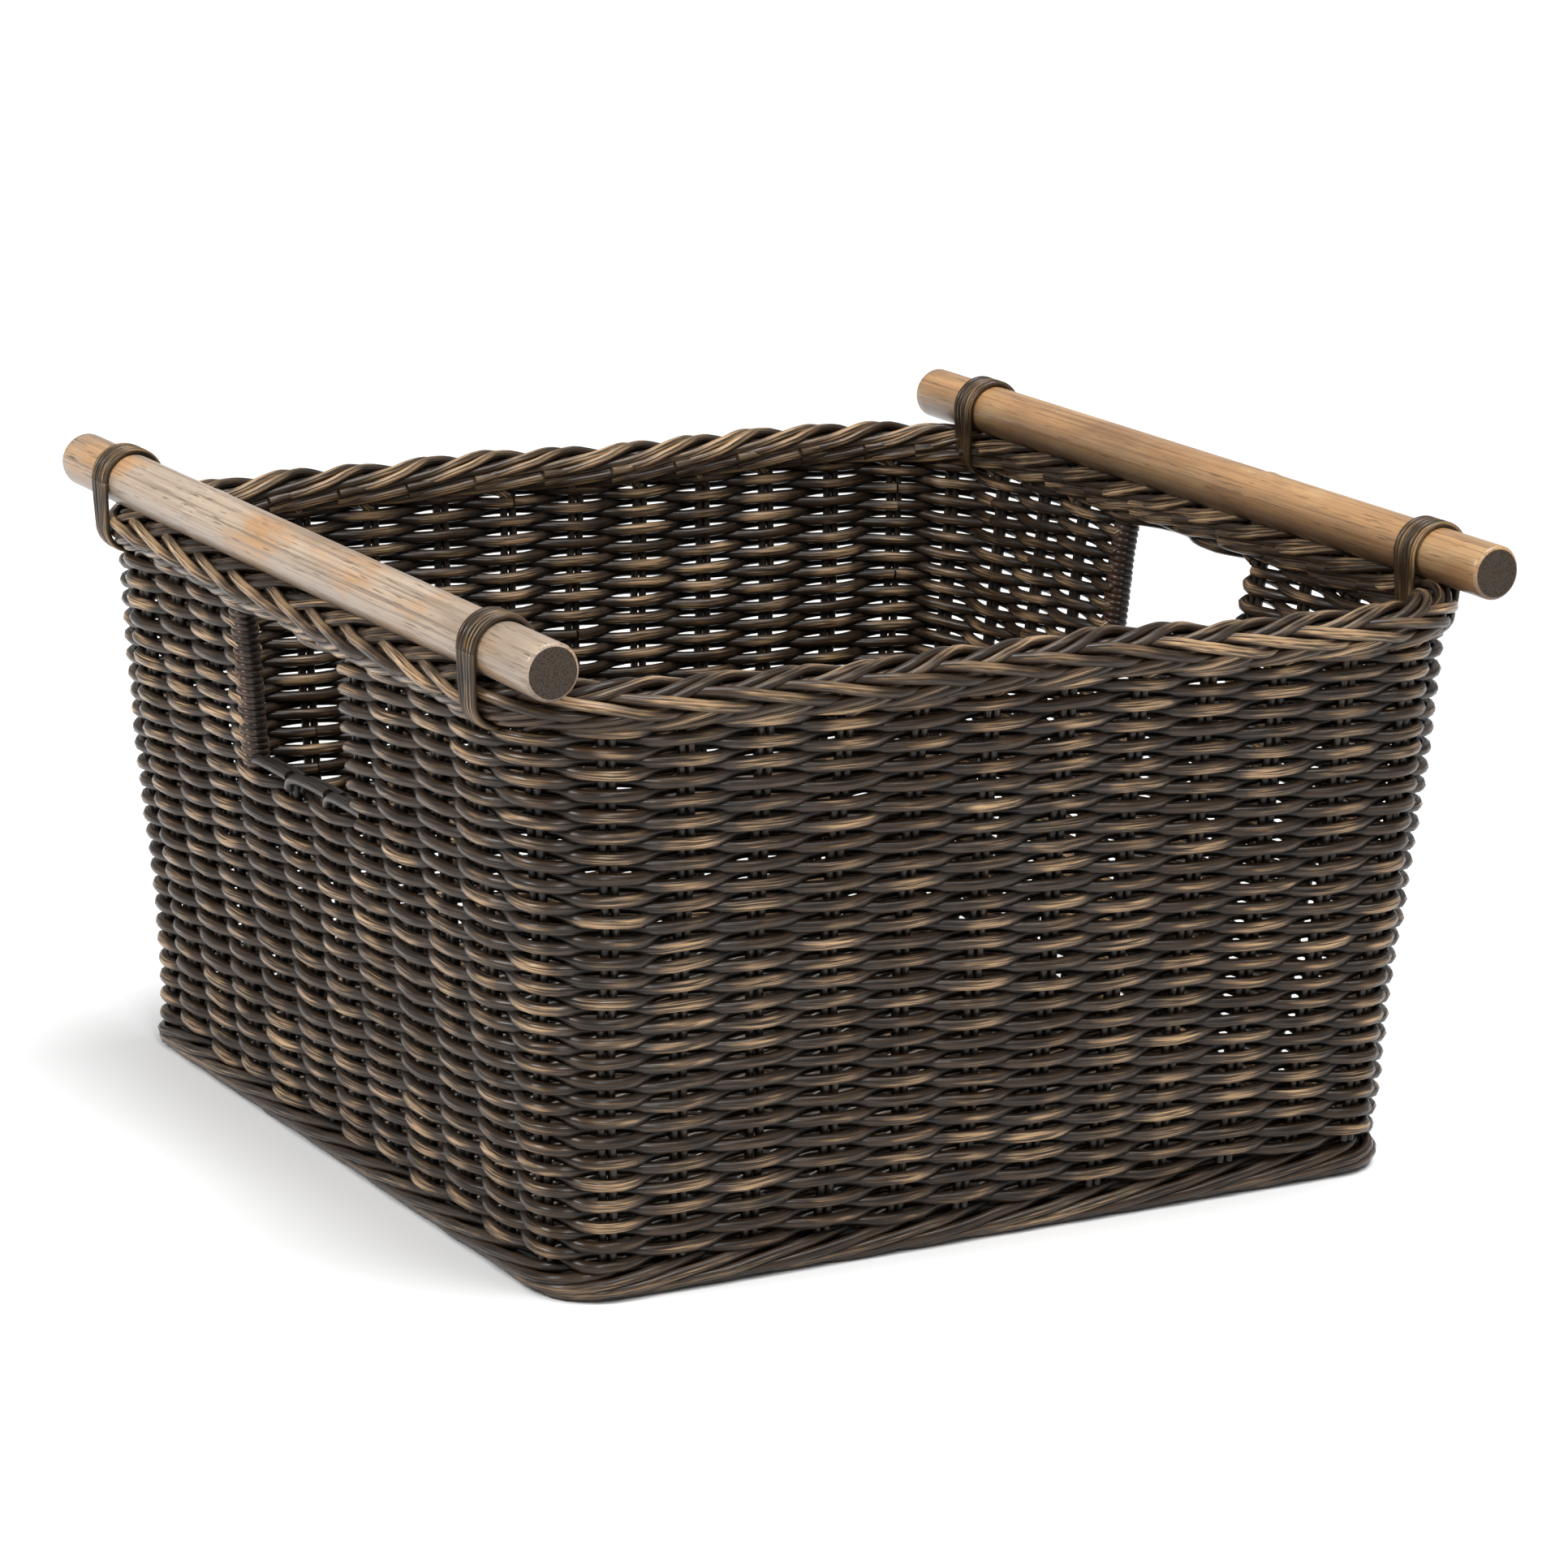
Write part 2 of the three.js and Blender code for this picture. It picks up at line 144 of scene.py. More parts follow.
# %% [markdown]
# ## Node maths as plain expressions
# Node trees are easier to read as formulas. `Wire` wraps one socket, so that
# `1 - mask` adds the Math node for it, and `Bench.add` makes any other node:
# its settings first, then what its sockets hold or are linked to.

# %% Wire and Bench


class Wire:
    """One output of a node in a tree."""

    def __init__(self, bench, socket):
        self.bench, self.socket = bench, socket

    def out(self, name):
        """Another output of the same node."""
        found = [s for s in self.socket.node.outputs if s.enabled and s.name == name]
        return Wire(self.bench, found[0])

    def __add__(self, other):
        return self.bench.maths("ADD", self, other)

    def __radd__(self, other):
        return self.bench.maths("ADD", other, self)

    def __sub__(self, other):
        return self.bench.maths("SUBTRACT", self, other)

    def __rsub__(self, other):
        return self.bench.maths("SUBTRACT", other, self)

    def __mul__(self, other):
        return self.bench.maths("MULTIPLY", self, other)

    def __rmul__(self, other):
        return self.bench.maths("MULTIPLY", other, self)

    def __truediv__(self, other):
        return self.bench.maths("DIVIDE", self, other)


class Bench:
    """A node tree that is being built."""

    def __init__(self, tree):
        self.tree = tree

    def add(self, kind, settings=None, inputs=None):
        """A new node; its first output that is in use comes back as a Wire."""
        node = self.tree.nodes.new(kind)
        for key, value in (settings or {}).items():
            setattr(node, key, value)
        for key, value in (inputs or {}).items():
            if isinstance(key, int):
                socket = node.inputs[key]
            else:
                socket = [s for s in node.inputs if s.enabled and s.name == key][0]
            if isinstance(value, Wire):
                self.tree.links.new(value.socket, socket)
            else:
                socket.default_value = value
        outs = [s for s in node.outputs if s.enabled]
        return Wire(self, outs[0]) if outs else node

    def maths(self, operation, *values):
        return self.add("ShaderNodeMath", {"operation": operation}, dict(enumerate(values)))

    def vector(self, operation, *values, scale=None):
        """Vector Math on up to two vectors, or a vector and a scale."""
        inputs = dict(enumerate(values))
        if scale is not None:
            inputs[3] = scale
        return self.add("ShaderNodeVectorMath", {"operation": operation}, inputs)

    def ease(self, value, low, high):
        """A smooth step from 0 to 1 while value goes from low to high."""
        return self.add("ShaderNodeMapRange", {"interpolation_type": "SMOOTHSTEP"},
                        {0: value, 1: low, 2: high})


# %% [markdown]
# ## The tree that turns guide lines into rods
# A basket is hundreds of round rods, each on its own path. Modelling them one
# by one would fix their shape for good. Here the script only draws thin guide
# lines, and one Geometry Nodes tree makes the rods: it lifts a weaver in and
# out of the wall as a cosine of its phase, makes it a little uneven as hand
# work is, sweeps a circle along it, and keeps two things for the finish: the
# rod's own grain coordinates, and how far out of the wall each point stands.

# %% The rod tree
CREST_FULLNESS = 1.25                             # 0 is a plain cosine, more is a flatter crest
OWN_WOBBLE, SHARED_WOBBLE = 45.0, 9.0             # bends in a metre, of one rod and of the wall
SWELLINGS, SWELL = 30.0, 0.2                      # thick places in a metre, and how much they add
OWN_SHIFT, SWELL_SHIFT = 97.0, 31.0               # sets the noise of one rod apart from the next


def rod_tree():
    tree = bpy.data.node_groups.new("Woven rods", "GeometryNodeTree")
    face = tree.interface
    face.new_socket("Geometry", in_out="INPUT", socket_type="NodeSocketGeometry")
    for name, kind in [("Wave Height", "Float"), ("Unevenness", "Float"), ("Wander", "Float"),
                       ("Reach", "Float"), ("Sides", "Int"), ("Seed", "Float"),
                       ("Material", "Material")]:
        face.new_socket(name, in_out="INPUT", socket_type="NodeSocket" + kind)
    face.new_socket("Geometry", in_out="OUTPUT", socket_type="NodeSocketGeometry")
    bench = Bench(tree)
    given = bench.add("NodeGroupInput")

    def kept(name, kind="FLOAT"):
        return bench.add("GeometryNodeInputNamedAttribute", {"data_type": kind}, {"Name": name})

    def keep(geometry, name, value, kind="FLOAT"):
        return bench.add("GeometryNodeStoreNamedAttribute", {"data_type": kind, "domain": "POINT"},
                         {"Geometry": geometry, "Name": name, "Value": value})

    def noise(scale, shift):
        """A vector from -0.5 to 0.5 that changes over 1 / scale metres."""
        cloud = bench.add("ShaderNodeTexNoise", {"noise_dimensions": "4D"},
                          {"Scale": scale, "Detail": 1.0, "W": shift})
        return bench.vector("SUBTRACT", cloud.out("Color"), (0.5, 0.5, 0.5))

    outward = kept("outward", "FLOAT_VECTOR")
    wave = bench.maths("COSINE", kept("phase") * math.pi)
    full = bench.maths("SINE", wave * CREST_FULLNESS) / math.sin(CREST_FULLNESS)
    lift = full * given.out("Wave Height")
    own = noise(OWN_WOBBLE, kept("tint") * OWN_SHIFT + given.out("Seed"))
    shared = noise(SHARED_WOBBLE, given.out("Seed"))
    offset = bench.vector("SCALE", outward, scale=lift)
    offset = bench.vector("ADD", offset, bench.vector("SCALE", own, scale=given.out("Unevenness")))
    offset = bench.vector("ADD", offset, bench.vector("SCALE", shared, scale=given.out("Wander")))
    lines = bench.add("GeometryNodeSetPosition", {}, {"Geometry": given, "Offset": offset})
    curves = bench.add("GeometryNodeMeshToCurve", {}, {"Mesh": lines})
    curves = keep(curves, "along", bench.add("GeometryNodeSplineParameter").out("Length"))
    circle = bench.add("GeometryNodeCurvePrimitiveCircle", {}, {
        "Resolution": given.out("Sides"), "Radius": 1.0})
    circle = keep(circle, "rim", bench.add("GeometryNodeInputPosition"), "FLOAT_VECTOR")
    swell = bench.add("ShaderNodeTexNoise", {"noise_dimensions": "4D"},
                      {"Scale": SWELLINGS, "Detail": 1.0, "W": kept("tint") * SWELL_SHIFT})
    radius = kept("thickness") * (swell * SWELL + (1 - SWELL / 2))
    rods = bench.add("GeometryNodeCurveToMesh", {}, {
        "Curve": curves, "Profile Curve": circle, "Scale": radius, "Fill Caps": True})
    facing = bench.vector("DOT_PRODUCT", bench.add("GeometryNodeInputNormal"), outward)
    facing = Wire(bench, facing.socket.node.outputs["Value"])
    depth = kept("lift") + lift + kept("thickness") * facing
    rods = keep(rods, "crest", bench.maths("ABSOLUTE", depth) / given.out("Reach"))
    rim = bench.add("ShaderNodeSeparateXYZ", {}, {0: kept("rim", "FLOAT_VECTOR")})
    grain = bench.add("ShaderNodeCombineXYZ", {}, {
        "X": kept("along"), "Y": rim * kept("thickness"), "Z": rim.out("Y") * kept("thickness")})
    rods = keep(rods, "grain", grain, "FLOAT_VECTOR")
    rods = bench.add("GeometryNodeSetShadeSmooth", {}, {"Geometry": rods})
    rods = bench.add("GeometryNodeRealizeInstances", {}, {"Geometry": rods})
    rods = bench.add("GeometryNodeSetMaterial", {}, {
        "Geometry": rods, "Material": given.out("Material")})
    bench.add("NodeGroupOutput", {}, {"Geometry": rods})
    return tree


ROD_TREE = rod_tree()
SOCKETS = {s.name: s.identifier for s in ROD_TREE.interface.items_tree if s.in_out == "INPUT"}
print("rod tree:", len(ROD_TREE.nodes), "nodes, inputs", ", ".join(SOCKETS))

# %% [markdown]
# ## From guide lines to a finished piece
# A guide is a chain of points, each with the outward direction of the wall,
# its phase, how far out it stands, and its thickness. The number `tint` is the
# rod's own, so each rod gets its own tone and its own wobble.
# The swept result is copied out as a plain mesh, because an exported piece
# can't carry a live tree.

# %% Guides and the sweep
chance = np.random.default_rng(1871)
TREE_SEED = 4.0
RING_STEPS = 3                                    # points of a plain ring at each stake
PATH_STEPS = 3                                    # points of a smooth strand in each step of its path


def guide(co, outward, thickness, phase=0.5, lift=0.0):
    """One rod's centre line with what the tree needs at each point."""
    count = len(co)
    return {"co": np.asarray(co, float),
            "outward": np.broadcast_to(outward, (count, 3)).astype(float),
            "phase": np.broadcast_to(phase, count).astype(float),
            "lift": np.broadcast_to(lift, count).astype(float),
            "thickness": np.broadcast_to(thickness, count).astype(float),
            "tint": np.full(count, chance.random())}


def guide_mesh(name, guides):
    """A mesh of loose edges that holds all the guides."""
    joined = {key: np.concatenate([g[key] for g in guides]) for key in guides[0]}
    lengths = [len(g["co"]) for g in guides]
    starts = np.cumsum([0] + lengths[:-1])
    edges = np.concatenate([np.arange(n - 1) + s for s, n in zip(starts, lengths)])
    mesh = bpy.data.meshes.new(name)
    mesh.from_pydata(joined["co"].tolist(), np.stack([edges, edges + 1], 1).tolist(), [])
    for key in ("phase", "lift", "thickness", "tint"):
        values = mesh.attributes.new(key, "FLOAT", "POINT")
        values.data.foreach_set("value", joined[key].astype("f"))
    vectors = mesh.attributes.new("outward", "FLOAT_VECTOR", "POINT")
    vectors.data.foreach_set("vector", joined["outward"].astype("f").ravel())
    return mesh


def swept(name, guides, finish, wave=0.0, sides=8, uneven=2.2 * MM, wander=9 * MM, reach=7.2 * MM):
    """The guides as one plain mesh object of rods.

    wave is how far a weaver swings out and in, uneven and wander how far noise
    moves the rods, and reach the distance out that the finish reads as a full
    crest, for its painted shade in the gaps and its gold and painted highlight.
    """
    lines = bpy.data.objects.new(name + "_guides", guide_mesh(name, guides))
    bpy.context.scene.collection.objects.link(lines)
    modifier = lines.modifiers.new("Rods", "NODES")
    modifier.node_group = ROD_TREE
    given = {"Wave Height": wave, "Unevenness": uneven, "Wander": wander, "Reach": reach,
             "Sides": sides, "Seed": TREE_SEED, "Material": finish}
    for socket, value in given.items():
        modifier[SOCKETS[socket]] = value
    evaluated = lines.evaluated_get(bpy.context.evaluated_depsgraph_get())
    mesh = bpy.data.meshes.new_from_object(evaluated)
    bpy.data.objects.remove(lines)
    for spare in ("phase", "lift", "outward", "thickness", "along", "rim"):
        if spare in mesh.attributes:
            mesh.attributes.remove(mesh.attributes[spare])
    piece = bpy.data.objects.new(name, mesh)
    bpy.context.scene.collection.objects.link(piece)
    return piece


def fit(piece, slot, *nodes):
    """The piece stands for these CAD nodes and rides with the basket; slot is not used."""
    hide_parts(*nodes)
    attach(piece, "root")
    low, high = (np.array([piece.bound_box[i][a] for a in range(3)]) / MM for i in (0, 6))
    print(f"{piece.name}: {len(piece.data.polygons)} faces, {low.round(1)} to {high.round(1)} mm")


def ring_guide(level, depth, radius, lift=0.0):
    """A plain ring right round the basket at height level, depth out from the wall's middle."""
    stake = np.arange(STAKE_COUNT * RING_STEPS + 1) / RING_STEPS
    co, out = wall(stake, np.full(len(stake), level))
    return guide(co + out * depth, out, radius, lift=lift)


def smooth_path(points, steps):
    """A round curve through the points: Catmull-Rom, steps pieces between each pair."""
    points = np.asarray(points, float)
    ends = np.vstack([2 * points[0] - points[1], points, 2 * points[-1] - points[-2]])
    t = np.linspace(0, 1, steps, endpoint=False)[:, None]
    parts = []
    for a, b, c, d in zip(ends[:-3], ends[1:-2], ends[2:-1], ends[3:]):
        parts.append(0.5 * (2 * b + (c - a) * t + (2 * a - 5 * b + 4 * c - d) * t**2
                            + (3 * b - a - 3 * c + d) * t**3))
    return np.vstack(parts + [points[-1:]])


def strand(stake, along, out_by, level, radius):
    """One smooth rod from lists of stakes along, metres out and heights."""
    points = smooth_path(np.stack([along, out_by, level], 1), PATH_STEPS)
    co, out = wall(stake + points[:, 0], points[:, 2])
    return guide(co + out * points[:, 1:2], out, radius, lift=points[:, 1])


# %% [markdown]
# ## The rattan finish
# The rods are lacquered rattan: nearly black between the rods, which is painted
# shade, warm brown on the round of each rod, and gold where they stand proud,
# which is bare cane where the lacquer has gone and a painted highlight too. Fine
# fibres run along each rod. The colour is mixed from the stored height `crest`,
# from each rod's own `tint`, and from noise stretched along the rod's own grain,
# so the streaks follow every bend.

# %% Rattan
# How often each pattern changes in a metre: along the rod and twice across it, or in X, Y and Z.
FIBRE_GRAIN = (50.0, 1700.0, 1700.0)
BAND_GRAIN = (28.0, 700.0, 700.0)
BLOTCH_GRAIN = (36.0, 160.0, 160.0)
ZONE_GRAIN = (9.0, 9.0, 9.0)
GROOVE_ROUGHNESS = 0.25                           # added between the fibres, where lacquer sinks in


def blank_finish(name):
    """A new material, its bench and its shader node."""
    material = bpy.data.materials.new(name)
    material.use_nodes = True
    bench = Bench(material.node_tree)
    return material, bench, material.node_tree.nodes["Principled BSDF"]


def mix_colour(bench, amount, first, second):
    """From the first colour to the second as amount goes from 0 to 1."""
    return bench.add("ShaderNodeMix", {"data_type": "RGBA"},
                     {"Factor": amount, "A": first, "B": second})


def stretched_noise(bench, vector, stretch, detail=3.0):
    """Noise whose grains are 1 / stretch metres long on each axis."""
    scaled = bench.vector("MULTIPLY", vector, stretch)
    return bench.add("ShaderNodeTexNoise", {}, {"Vector": scaled, "Scale": 1.0, "Detail": detail})


def attribute(bench, name, output="Fac"):
    return bench.add("ShaderNodeAttribute", {"attribute_name": name}).out(output)


def rattan_finish(name, gap_shade, body, silver, worn_and_highlight, wear_and_highlight=(0.7, 1.28)):
    """Lacquered rattan: painted shade in the gaps, body or silver on the round, gold on the crests.

    The gold is bare cane where the lacquer has gone and a painted highlight too; the last
    argument gives the crest heights where it begins and where it is full.
    """
    material, bench, shader = blank_finish(name)
    grain, crest = attribute(bench, "grain", "Vector"), attribute(bench, "crest")
    tint = attribute(bench, "tint")
    place = bench.add("ShaderNodeTexCoord").out("Object")
    fibres = stretched_noise(bench, grain, FIBRE_GRAIN)
    ridges = bench.ease(fibres, 0.38, 0.6)
    bands = stretched_noise(bench, grain, BAND_GRAIN, 2.0)
    blotch = stretched_noise(bench, grain, BLOTCH_GRAIN, 2.0)
    zone = stretched_noise(bench, place, ZONE_GRAIN, 2.0)
    skin = mix_colour(bench, bench.ease(zone + tint * 0.3, 0.5, 0.8), body, silver)
    # Painted shade: nearly black where a rod sinks into the wall, between and behind its neighbours.
    skin = mix_colour(bench, bench.ease(crest + blotch * 0.3, 0.1, 0.85), gap_shade, skin)
    # Gold on the proud crests: bare cane where the lacquer has gone, and a painted highlight too.
    wear_and_highlight_mask = crest
    for pattern, weight in ((blotch, 1.1), (bands, 0.6), (zone, 0.6), (tint, 0.35)):
        wear_and_highlight_mask = wear_and_highlight_mask + (pattern - 0.5) * weight
    skin = mix_colour(bench, bench.ease(wear_and_highlight_mask, *wear_and_highlight) * (ridges * 0.5 + 0.5), skin, worn_and_highlight)
    shade = (ridges * 1.3 + 0.24) * (bands + 0.5) * (tint * 0.4 + 0.8)
    colour = bench.vector("SCALE", skin, scale=shade)
    links = bench.tree.links
    links.new(colour.socket, shader.inputs["Base Color"])
    links.new((0.26 + (1 - ridges) * GROOVE_ROUGHNESS).socket, shader.inputs["Roughness"])
    shader.inputs["Specular IOR Level"].default_value = 0.24
    shader.inputs["Coat Weight"].default_value = 0.2
    shader.inputs["Coat Roughness"].default_value = 0.17
    bump = bench.add("ShaderNodeBump", {}, {
        "Strength": 0.7, "Distance": 0.3 * MM, "Height": fibres + bands * 0.5})
    links.new(bump.socket, shader.inputs["Normal"])
    return material


# The first colour is painted shade in the gaps; the gold is bare cane where the lacquer has gone and a
# painted highlight too.
GAP_SHADE_BROWN = (0.008, 0.006, 0.005, 1)
DARK_BROWN = (0.036, 0.02, 0.01, 1)
SILVER_BROWN = (0.042, 0.028, 0.019, 1)
WORN_GOLD_AND_HIGHLIGHT = (0.27, 0.174, 0.094, 1)
woven_rattan = rattan_finish("woven_rattan", GAP_SHADE_BROWN, DARK_BROWN, SILVER_BROWN, WORN_GOLD_AND_HIGHLIGHT)
stake_rattan = rattan_finish(
    "stake_rattan", gap_shade=GAP_SHADE_BROWN, body=(0.02, 0.014, 0.01, 1), silver=(0.026, 0.021, 0.018, 1),
    worn_and_highlight=(0.07, 0.043, 0.024, 1))
border_rattan = rattan_finish("border_rattan", GAP_SHADE_BROWN, DARK_BROWN, SILVER_BROWN, WORN_GOLD_AND_HIGHLIGHT)
base_rattan = rattan_finish(
    "base_rattan", gap_shade=GAP_SHADE_BROWN, body=(0.026, 0.018, 0.012, 1), silver=(0.03, 0.024, 0.02, 1),
    worn_and_highlight=(0.11, 0.068, 0.036, 1))
lashing_cane = rattan_finish(
    "lashing_cane", gap_shade=(0.008, 0.005, 0.003, 1), body=(0.045, 0.025, 0.011, 1),
    silver=(0.05, 0.033, 0.017, 1), worn_and_highlight=(0.2, 0.118, 0.05, 1), wear_and_highlight=(0.8, 1.25))
binding_cane = rattan_finish(
    "binding_cane", gap_shade=GAP_SHADE_BROWN, body=(0.048, 0.022, 0.012, 1),
    silver=(0.048, 0.026, 0.017, 1), worn_and_highlight=(0.12, 0.066, 0.036, 1), wear_and_highlight=(0.95, 1.4))
made = [m.name for m in bpy.data.materials if m.name.endswith(("rattan", "cane"))]
print("finishes:", ", ".join(made))

# %% [markdown]
# ## The lower wall
# Each row is a round rattan weaver that passes in front of one pair of stakes
# and behind the next, and the row above does the opposite. It could be one
# spiral from foot to sill, but rows of their own let each weaver end where a
# maker hides its end: cut off behind a stake, on the inside.

# %% Weavers under the hand holes
STEPS = 6                                         # points from one stake to the next
END_GAP = 0.05                                    # of a step, at a join
SECOND_JOIN = (8, 16)                             # pairs of stakes on from a row's first join


def row_level(row):
    return weave_low + (row + 0.5) * row_height


def cut_at(chain, joins):
    """The chain as several rods that meet at the joins with a hair of air between them."""
    rods = []
    for start, end in zip(joins[:-1], joins[1:]):
        piece = {key: value[start:end + 1].copy() for key, value in chain.items()}
        for key, value in piece.items():
            value[0] += (value[1] - value[0]) * END_GAP
            value[-1] += (value[-2] - value[-1]) * END_GAP
        piece["tint"][:] = chance.random()        # each weaver has its own tone
        rods.append(piece)
    return rods


def ring_row(row):
    """One row right round the basket, joined at two stakes where it passes behind."""
    first = int(chance.integers(0, STAKE_COUNT // 2)) * 2 + (row + 1) % 2
    stake = first + np.arange(STAKE_COUNT * STEPS + 1) / STEPS
    co, out = wall(stake, np.full(len(stake), row_level(row)))
    chain = guide(co, out, WEAVER_RADIUS, phase=stake + row)
    middle = int(chance.integers(*SECOND_JOIN)) * 2 * STEPS
    return cut_at(chain, [0, middle, len(stake) - 1])


lower = swept("lower_wall_weavers", [rod for row in range(lower_rows) for rod in ring_row(row)],
              woven_rattan, wave=WEAVER_LIFT)
fit(lower, "woven_rattan", "lower_weave")

# %% [markdown]
# ## The wall beside the hand holes
# Above the sills the wall is two panels, front and back. The weaver goes to
# the last stake, turns round it, and comes back as the next row, so it is one
# long snake. Its phase simply runs on through each turn.

# %% Weavers beside the hand holes
TURN_STEPS = 6
TURN_REACH = STAKE_SPACING / 2 + STAKE_RADIUS + WEAVER_RADIUS * 0.8
BOUND_REACH = 1.5 * MM                            # a turn that has to stay under the binding
PLACES_PER_JOIN = 12                              # one in twelve places behind a stake has a join
PHASE_SLACK = 1e-6                                # this near to an odd phase is behind a stake


def snake_panel(first_stake, last_stake, reach):
    """Rows from sill to border between two jamb stakes, with turns that reach so far past them."""
    stakes, phases, levels, reaches = [], [], [], []
    across = np.arange(first_stake * STEPS, last_stake * STEPS + 1) / STEPS
    turn = np.arange(1, TURN_STEPS) / TURN_STEPS
    for row in range(lower_rows, ROWS):
        forward = (row - lower_rows) % 2 == 0
        run = across if forward else across[::-1]
        stakes += [run, np.full(len(turn), run[-1])]
        phases += [run + row, run[-1] + row + turn]
        levels += [np.full(len(run), row_level(row)), row_level(row) + turn * row_height]
        reaches += [0 * run, (1 if forward else -1) * reach * np.sin(math.pi * turn)]
    lists = (stakes, phases, levels, reaches)
    stakes, phases, levels, reaches = (np.concatenate(v)[:-len(turn)] for v in lists)
    co, out = wall(stakes, levels)
    chain = guide(co + beside(out) * reaches[:, None], out, WEAVER_RADIUS, phase=phases)
    behind = np.flatnonzero((np.abs(np.mod(phases, 2) - 1) < PHASE_SLACK) & (reaches == 0))
    picked = chance.choice(behind[1:-1], len(behind) // PLACES_PER_JOIN, replace=False)
    return cut_at(chain, [0, *sorted(int(i) for i in picked), len(co) - 1])


LEFT_JAMBS, RIGHT_JAMBS = (22, 25), (46, 49)      # stakes beside each hole; 49 is stake 1 again
back_rods = snake_panel(RIGHT_JAMBS[1] - STAKE_COUNT, LEFT_JAMBS[0], BOUND_REACH)
back = swept("upper_back_weavers", back_rods, woven_rattan, wave=WEAVER_LIFT)
fit(back, "woven_rattan", "upper_weave_back")
front_rods = snake_panel(LEFT_JAMBS[1], RIGHT_JAMBS[0], TURN_REACH)
front = swept("upper_front_weavers", front_rods, woven_rattan, wave=WEAVER_LIFT)
fit(front, "woven_rattan", "upper_weave_front")

# %% [markdown]
# ## The stakes
# The stakes are the frame that the weaving grips, and they stand in pairs.
# They are straight rods from the foot into the border, so two points would do,
# but a few more let them take the same slight wander as the wall.

# %% Stake pairs
HOLE_STAKES = {23, 24, 0, 47}                     # these stop short, under the hand holes
STAKE_POINTS = 12
STAKE_TUCK = 5 * MM                               # how far a stake goes up into the border


def stake_guides(stake, low, high):
    """The two rods of one stake, from height low to height high."""
    z = np.linspace(low, high, STAKE_POINTS)
    co, out = wall(np.full(len(z), float(stake)), z)
    off = beside(out) * STAKE_SPACING / 2
    return [guide(co + off * side, out, STAKE_RADIUS) for side in (-1, 1)]


stake_low, stake_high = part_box("stake_pair_10")[0].z, weave_top + STAKE_TUCK
full = [rod for stake in range(STAKE_COUNT) if stake not in HOLE_STAKES
        for rod in stake_guides(stake, stake_low, stake_high)]
stakes = swept("stakes", full, stake_rattan, uneven=1 * MM, reach=2.4 * MM)
fit(stakes, "stake_rattan", *[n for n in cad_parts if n.startswith("stake_pair_")])

# %% [markdown]
# ## Sills and jamb bindings of the hand holes
# Under each hole the stakes stop short. Each is bent over to lie along the edge
# as far as the next one, where it is cut off square. The far jamb is bound with
# cane, wound so close round the stake pair that its turns press together.

# %% Sills and bindings
SILL_RADIUS = 2.8 * MM
BINDING_RADIUS = 2.2 * MM
BINDING_LAP = 0.72                                # of a full width, from one turn to the next
BINDING_INSET = 3.1 * MM                          # its middle, in from the faces of the wall
BINDING_FOOT = 2 * MM                             # its first turn, over the foot of its CAD node
BINDING_POINTS = 16                               # in one turn
SILL_ALONG = np.array([0.0, 0.08, 0.3, 0.6, 0.9, 1.04])             # stakes from its own
SILL_DROP = np.array([7, 2.2, 0.4, 0.2, 0.2, 0.6]) * MM             # under the edge, at those places
SILL_PAIR = ((2.3 * MM, 0.0), (-2.6 * MM, 0.12))  # how far out each rod lies, and how late it bends
LATE_DROP = 8 * MM                                # lower by this for each stake that a rod is late


def sill_guides(jambs, node):
    """The short stakes under the hole, each bent over to lie along its lower edge to the next."""
    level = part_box(node)[1].z - SILL_RADIUS
    rods = []
    for stake in range(jambs[0], jambs[1]):
        for out_by, late in SILL_PAIR:
            heights = level - SILL_DROP - late * LATE_DROP
            outs = np.full(len(SILL_ALONG), out_by)
            rods.append(strand(stake, SILL_ALONG + late, outs, heights, SILL_RADIUS))
    for stake in range(jambs[0] + 1, jambs[1]):
        rods += stake_guides(stake, stake_low, level)
    return rods


def binding_guide(stake, low, high):
    """A close winding round one jamb, as a flattened screw line."""
    turns = (high - low) / (2 * BINDING_RADIUS * BINDING_LAP)
    angle = np.arange(0, turns * 2 * math.pi, 2 * math.pi / BINDING_POINTS)
    z = low + angle / angle[-1] * (high - low)
    co, out = wall(np.full(len(z), float(stake)), z)
    half_width = STAKE_SPACING / 2 + STAKE_RADIUS + BINDING_RADIUS * 0.4
    half_depth = WALL_THICKNESS / 2 - BINDING_INSET
    across, lift = half_width * np.cos(angle), half_depth * np.sin(angle)
    co = co + beside(out) * across[:, None] + out * lift[:, None]
    return guide(co, out, BINDING_RADIUS, lift=lift)


for side, jambs, bound in (("left", LEFT_JAMBS, LEFT_JAMBS[0]),
                           ("right", RIGHT_JAMBS, RIGHT_JAMBS[1])):
    node = side + "_hole_sill"
    sill = swept(side + "_sill_rods", sill_guides(jambs, node), stake_rattan,
                 uneven=1 * MM, reach=5 * MM)
    fit(sill, "stake_rattan", node)
    node = side + "_jamb_binding"
    low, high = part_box(node)
    binding = swept(side + "_jamb_cane", [binding_guide(bound, low.z + BINDING_FOOT, high.z)],
                    binding_cane, uneven=0.8 * MM, reach=9 * MM)
    fit(binding, "woven_rattan", node)

# %% [markdown]
# ## The plaited border
# At the rim the stakes become the border. From each stake a pair of rods leans
# over, climbs the outside and goes over the top to end inside, and one more rod
# rises under the others and comes over the top the other way, to end outside.
# Where the two ways cross, they make the herringbone of a plait. A short strand
# lies tucked along the inside. Each path is written once and repeated from
# every stake, which is just how the maker works round the basket.

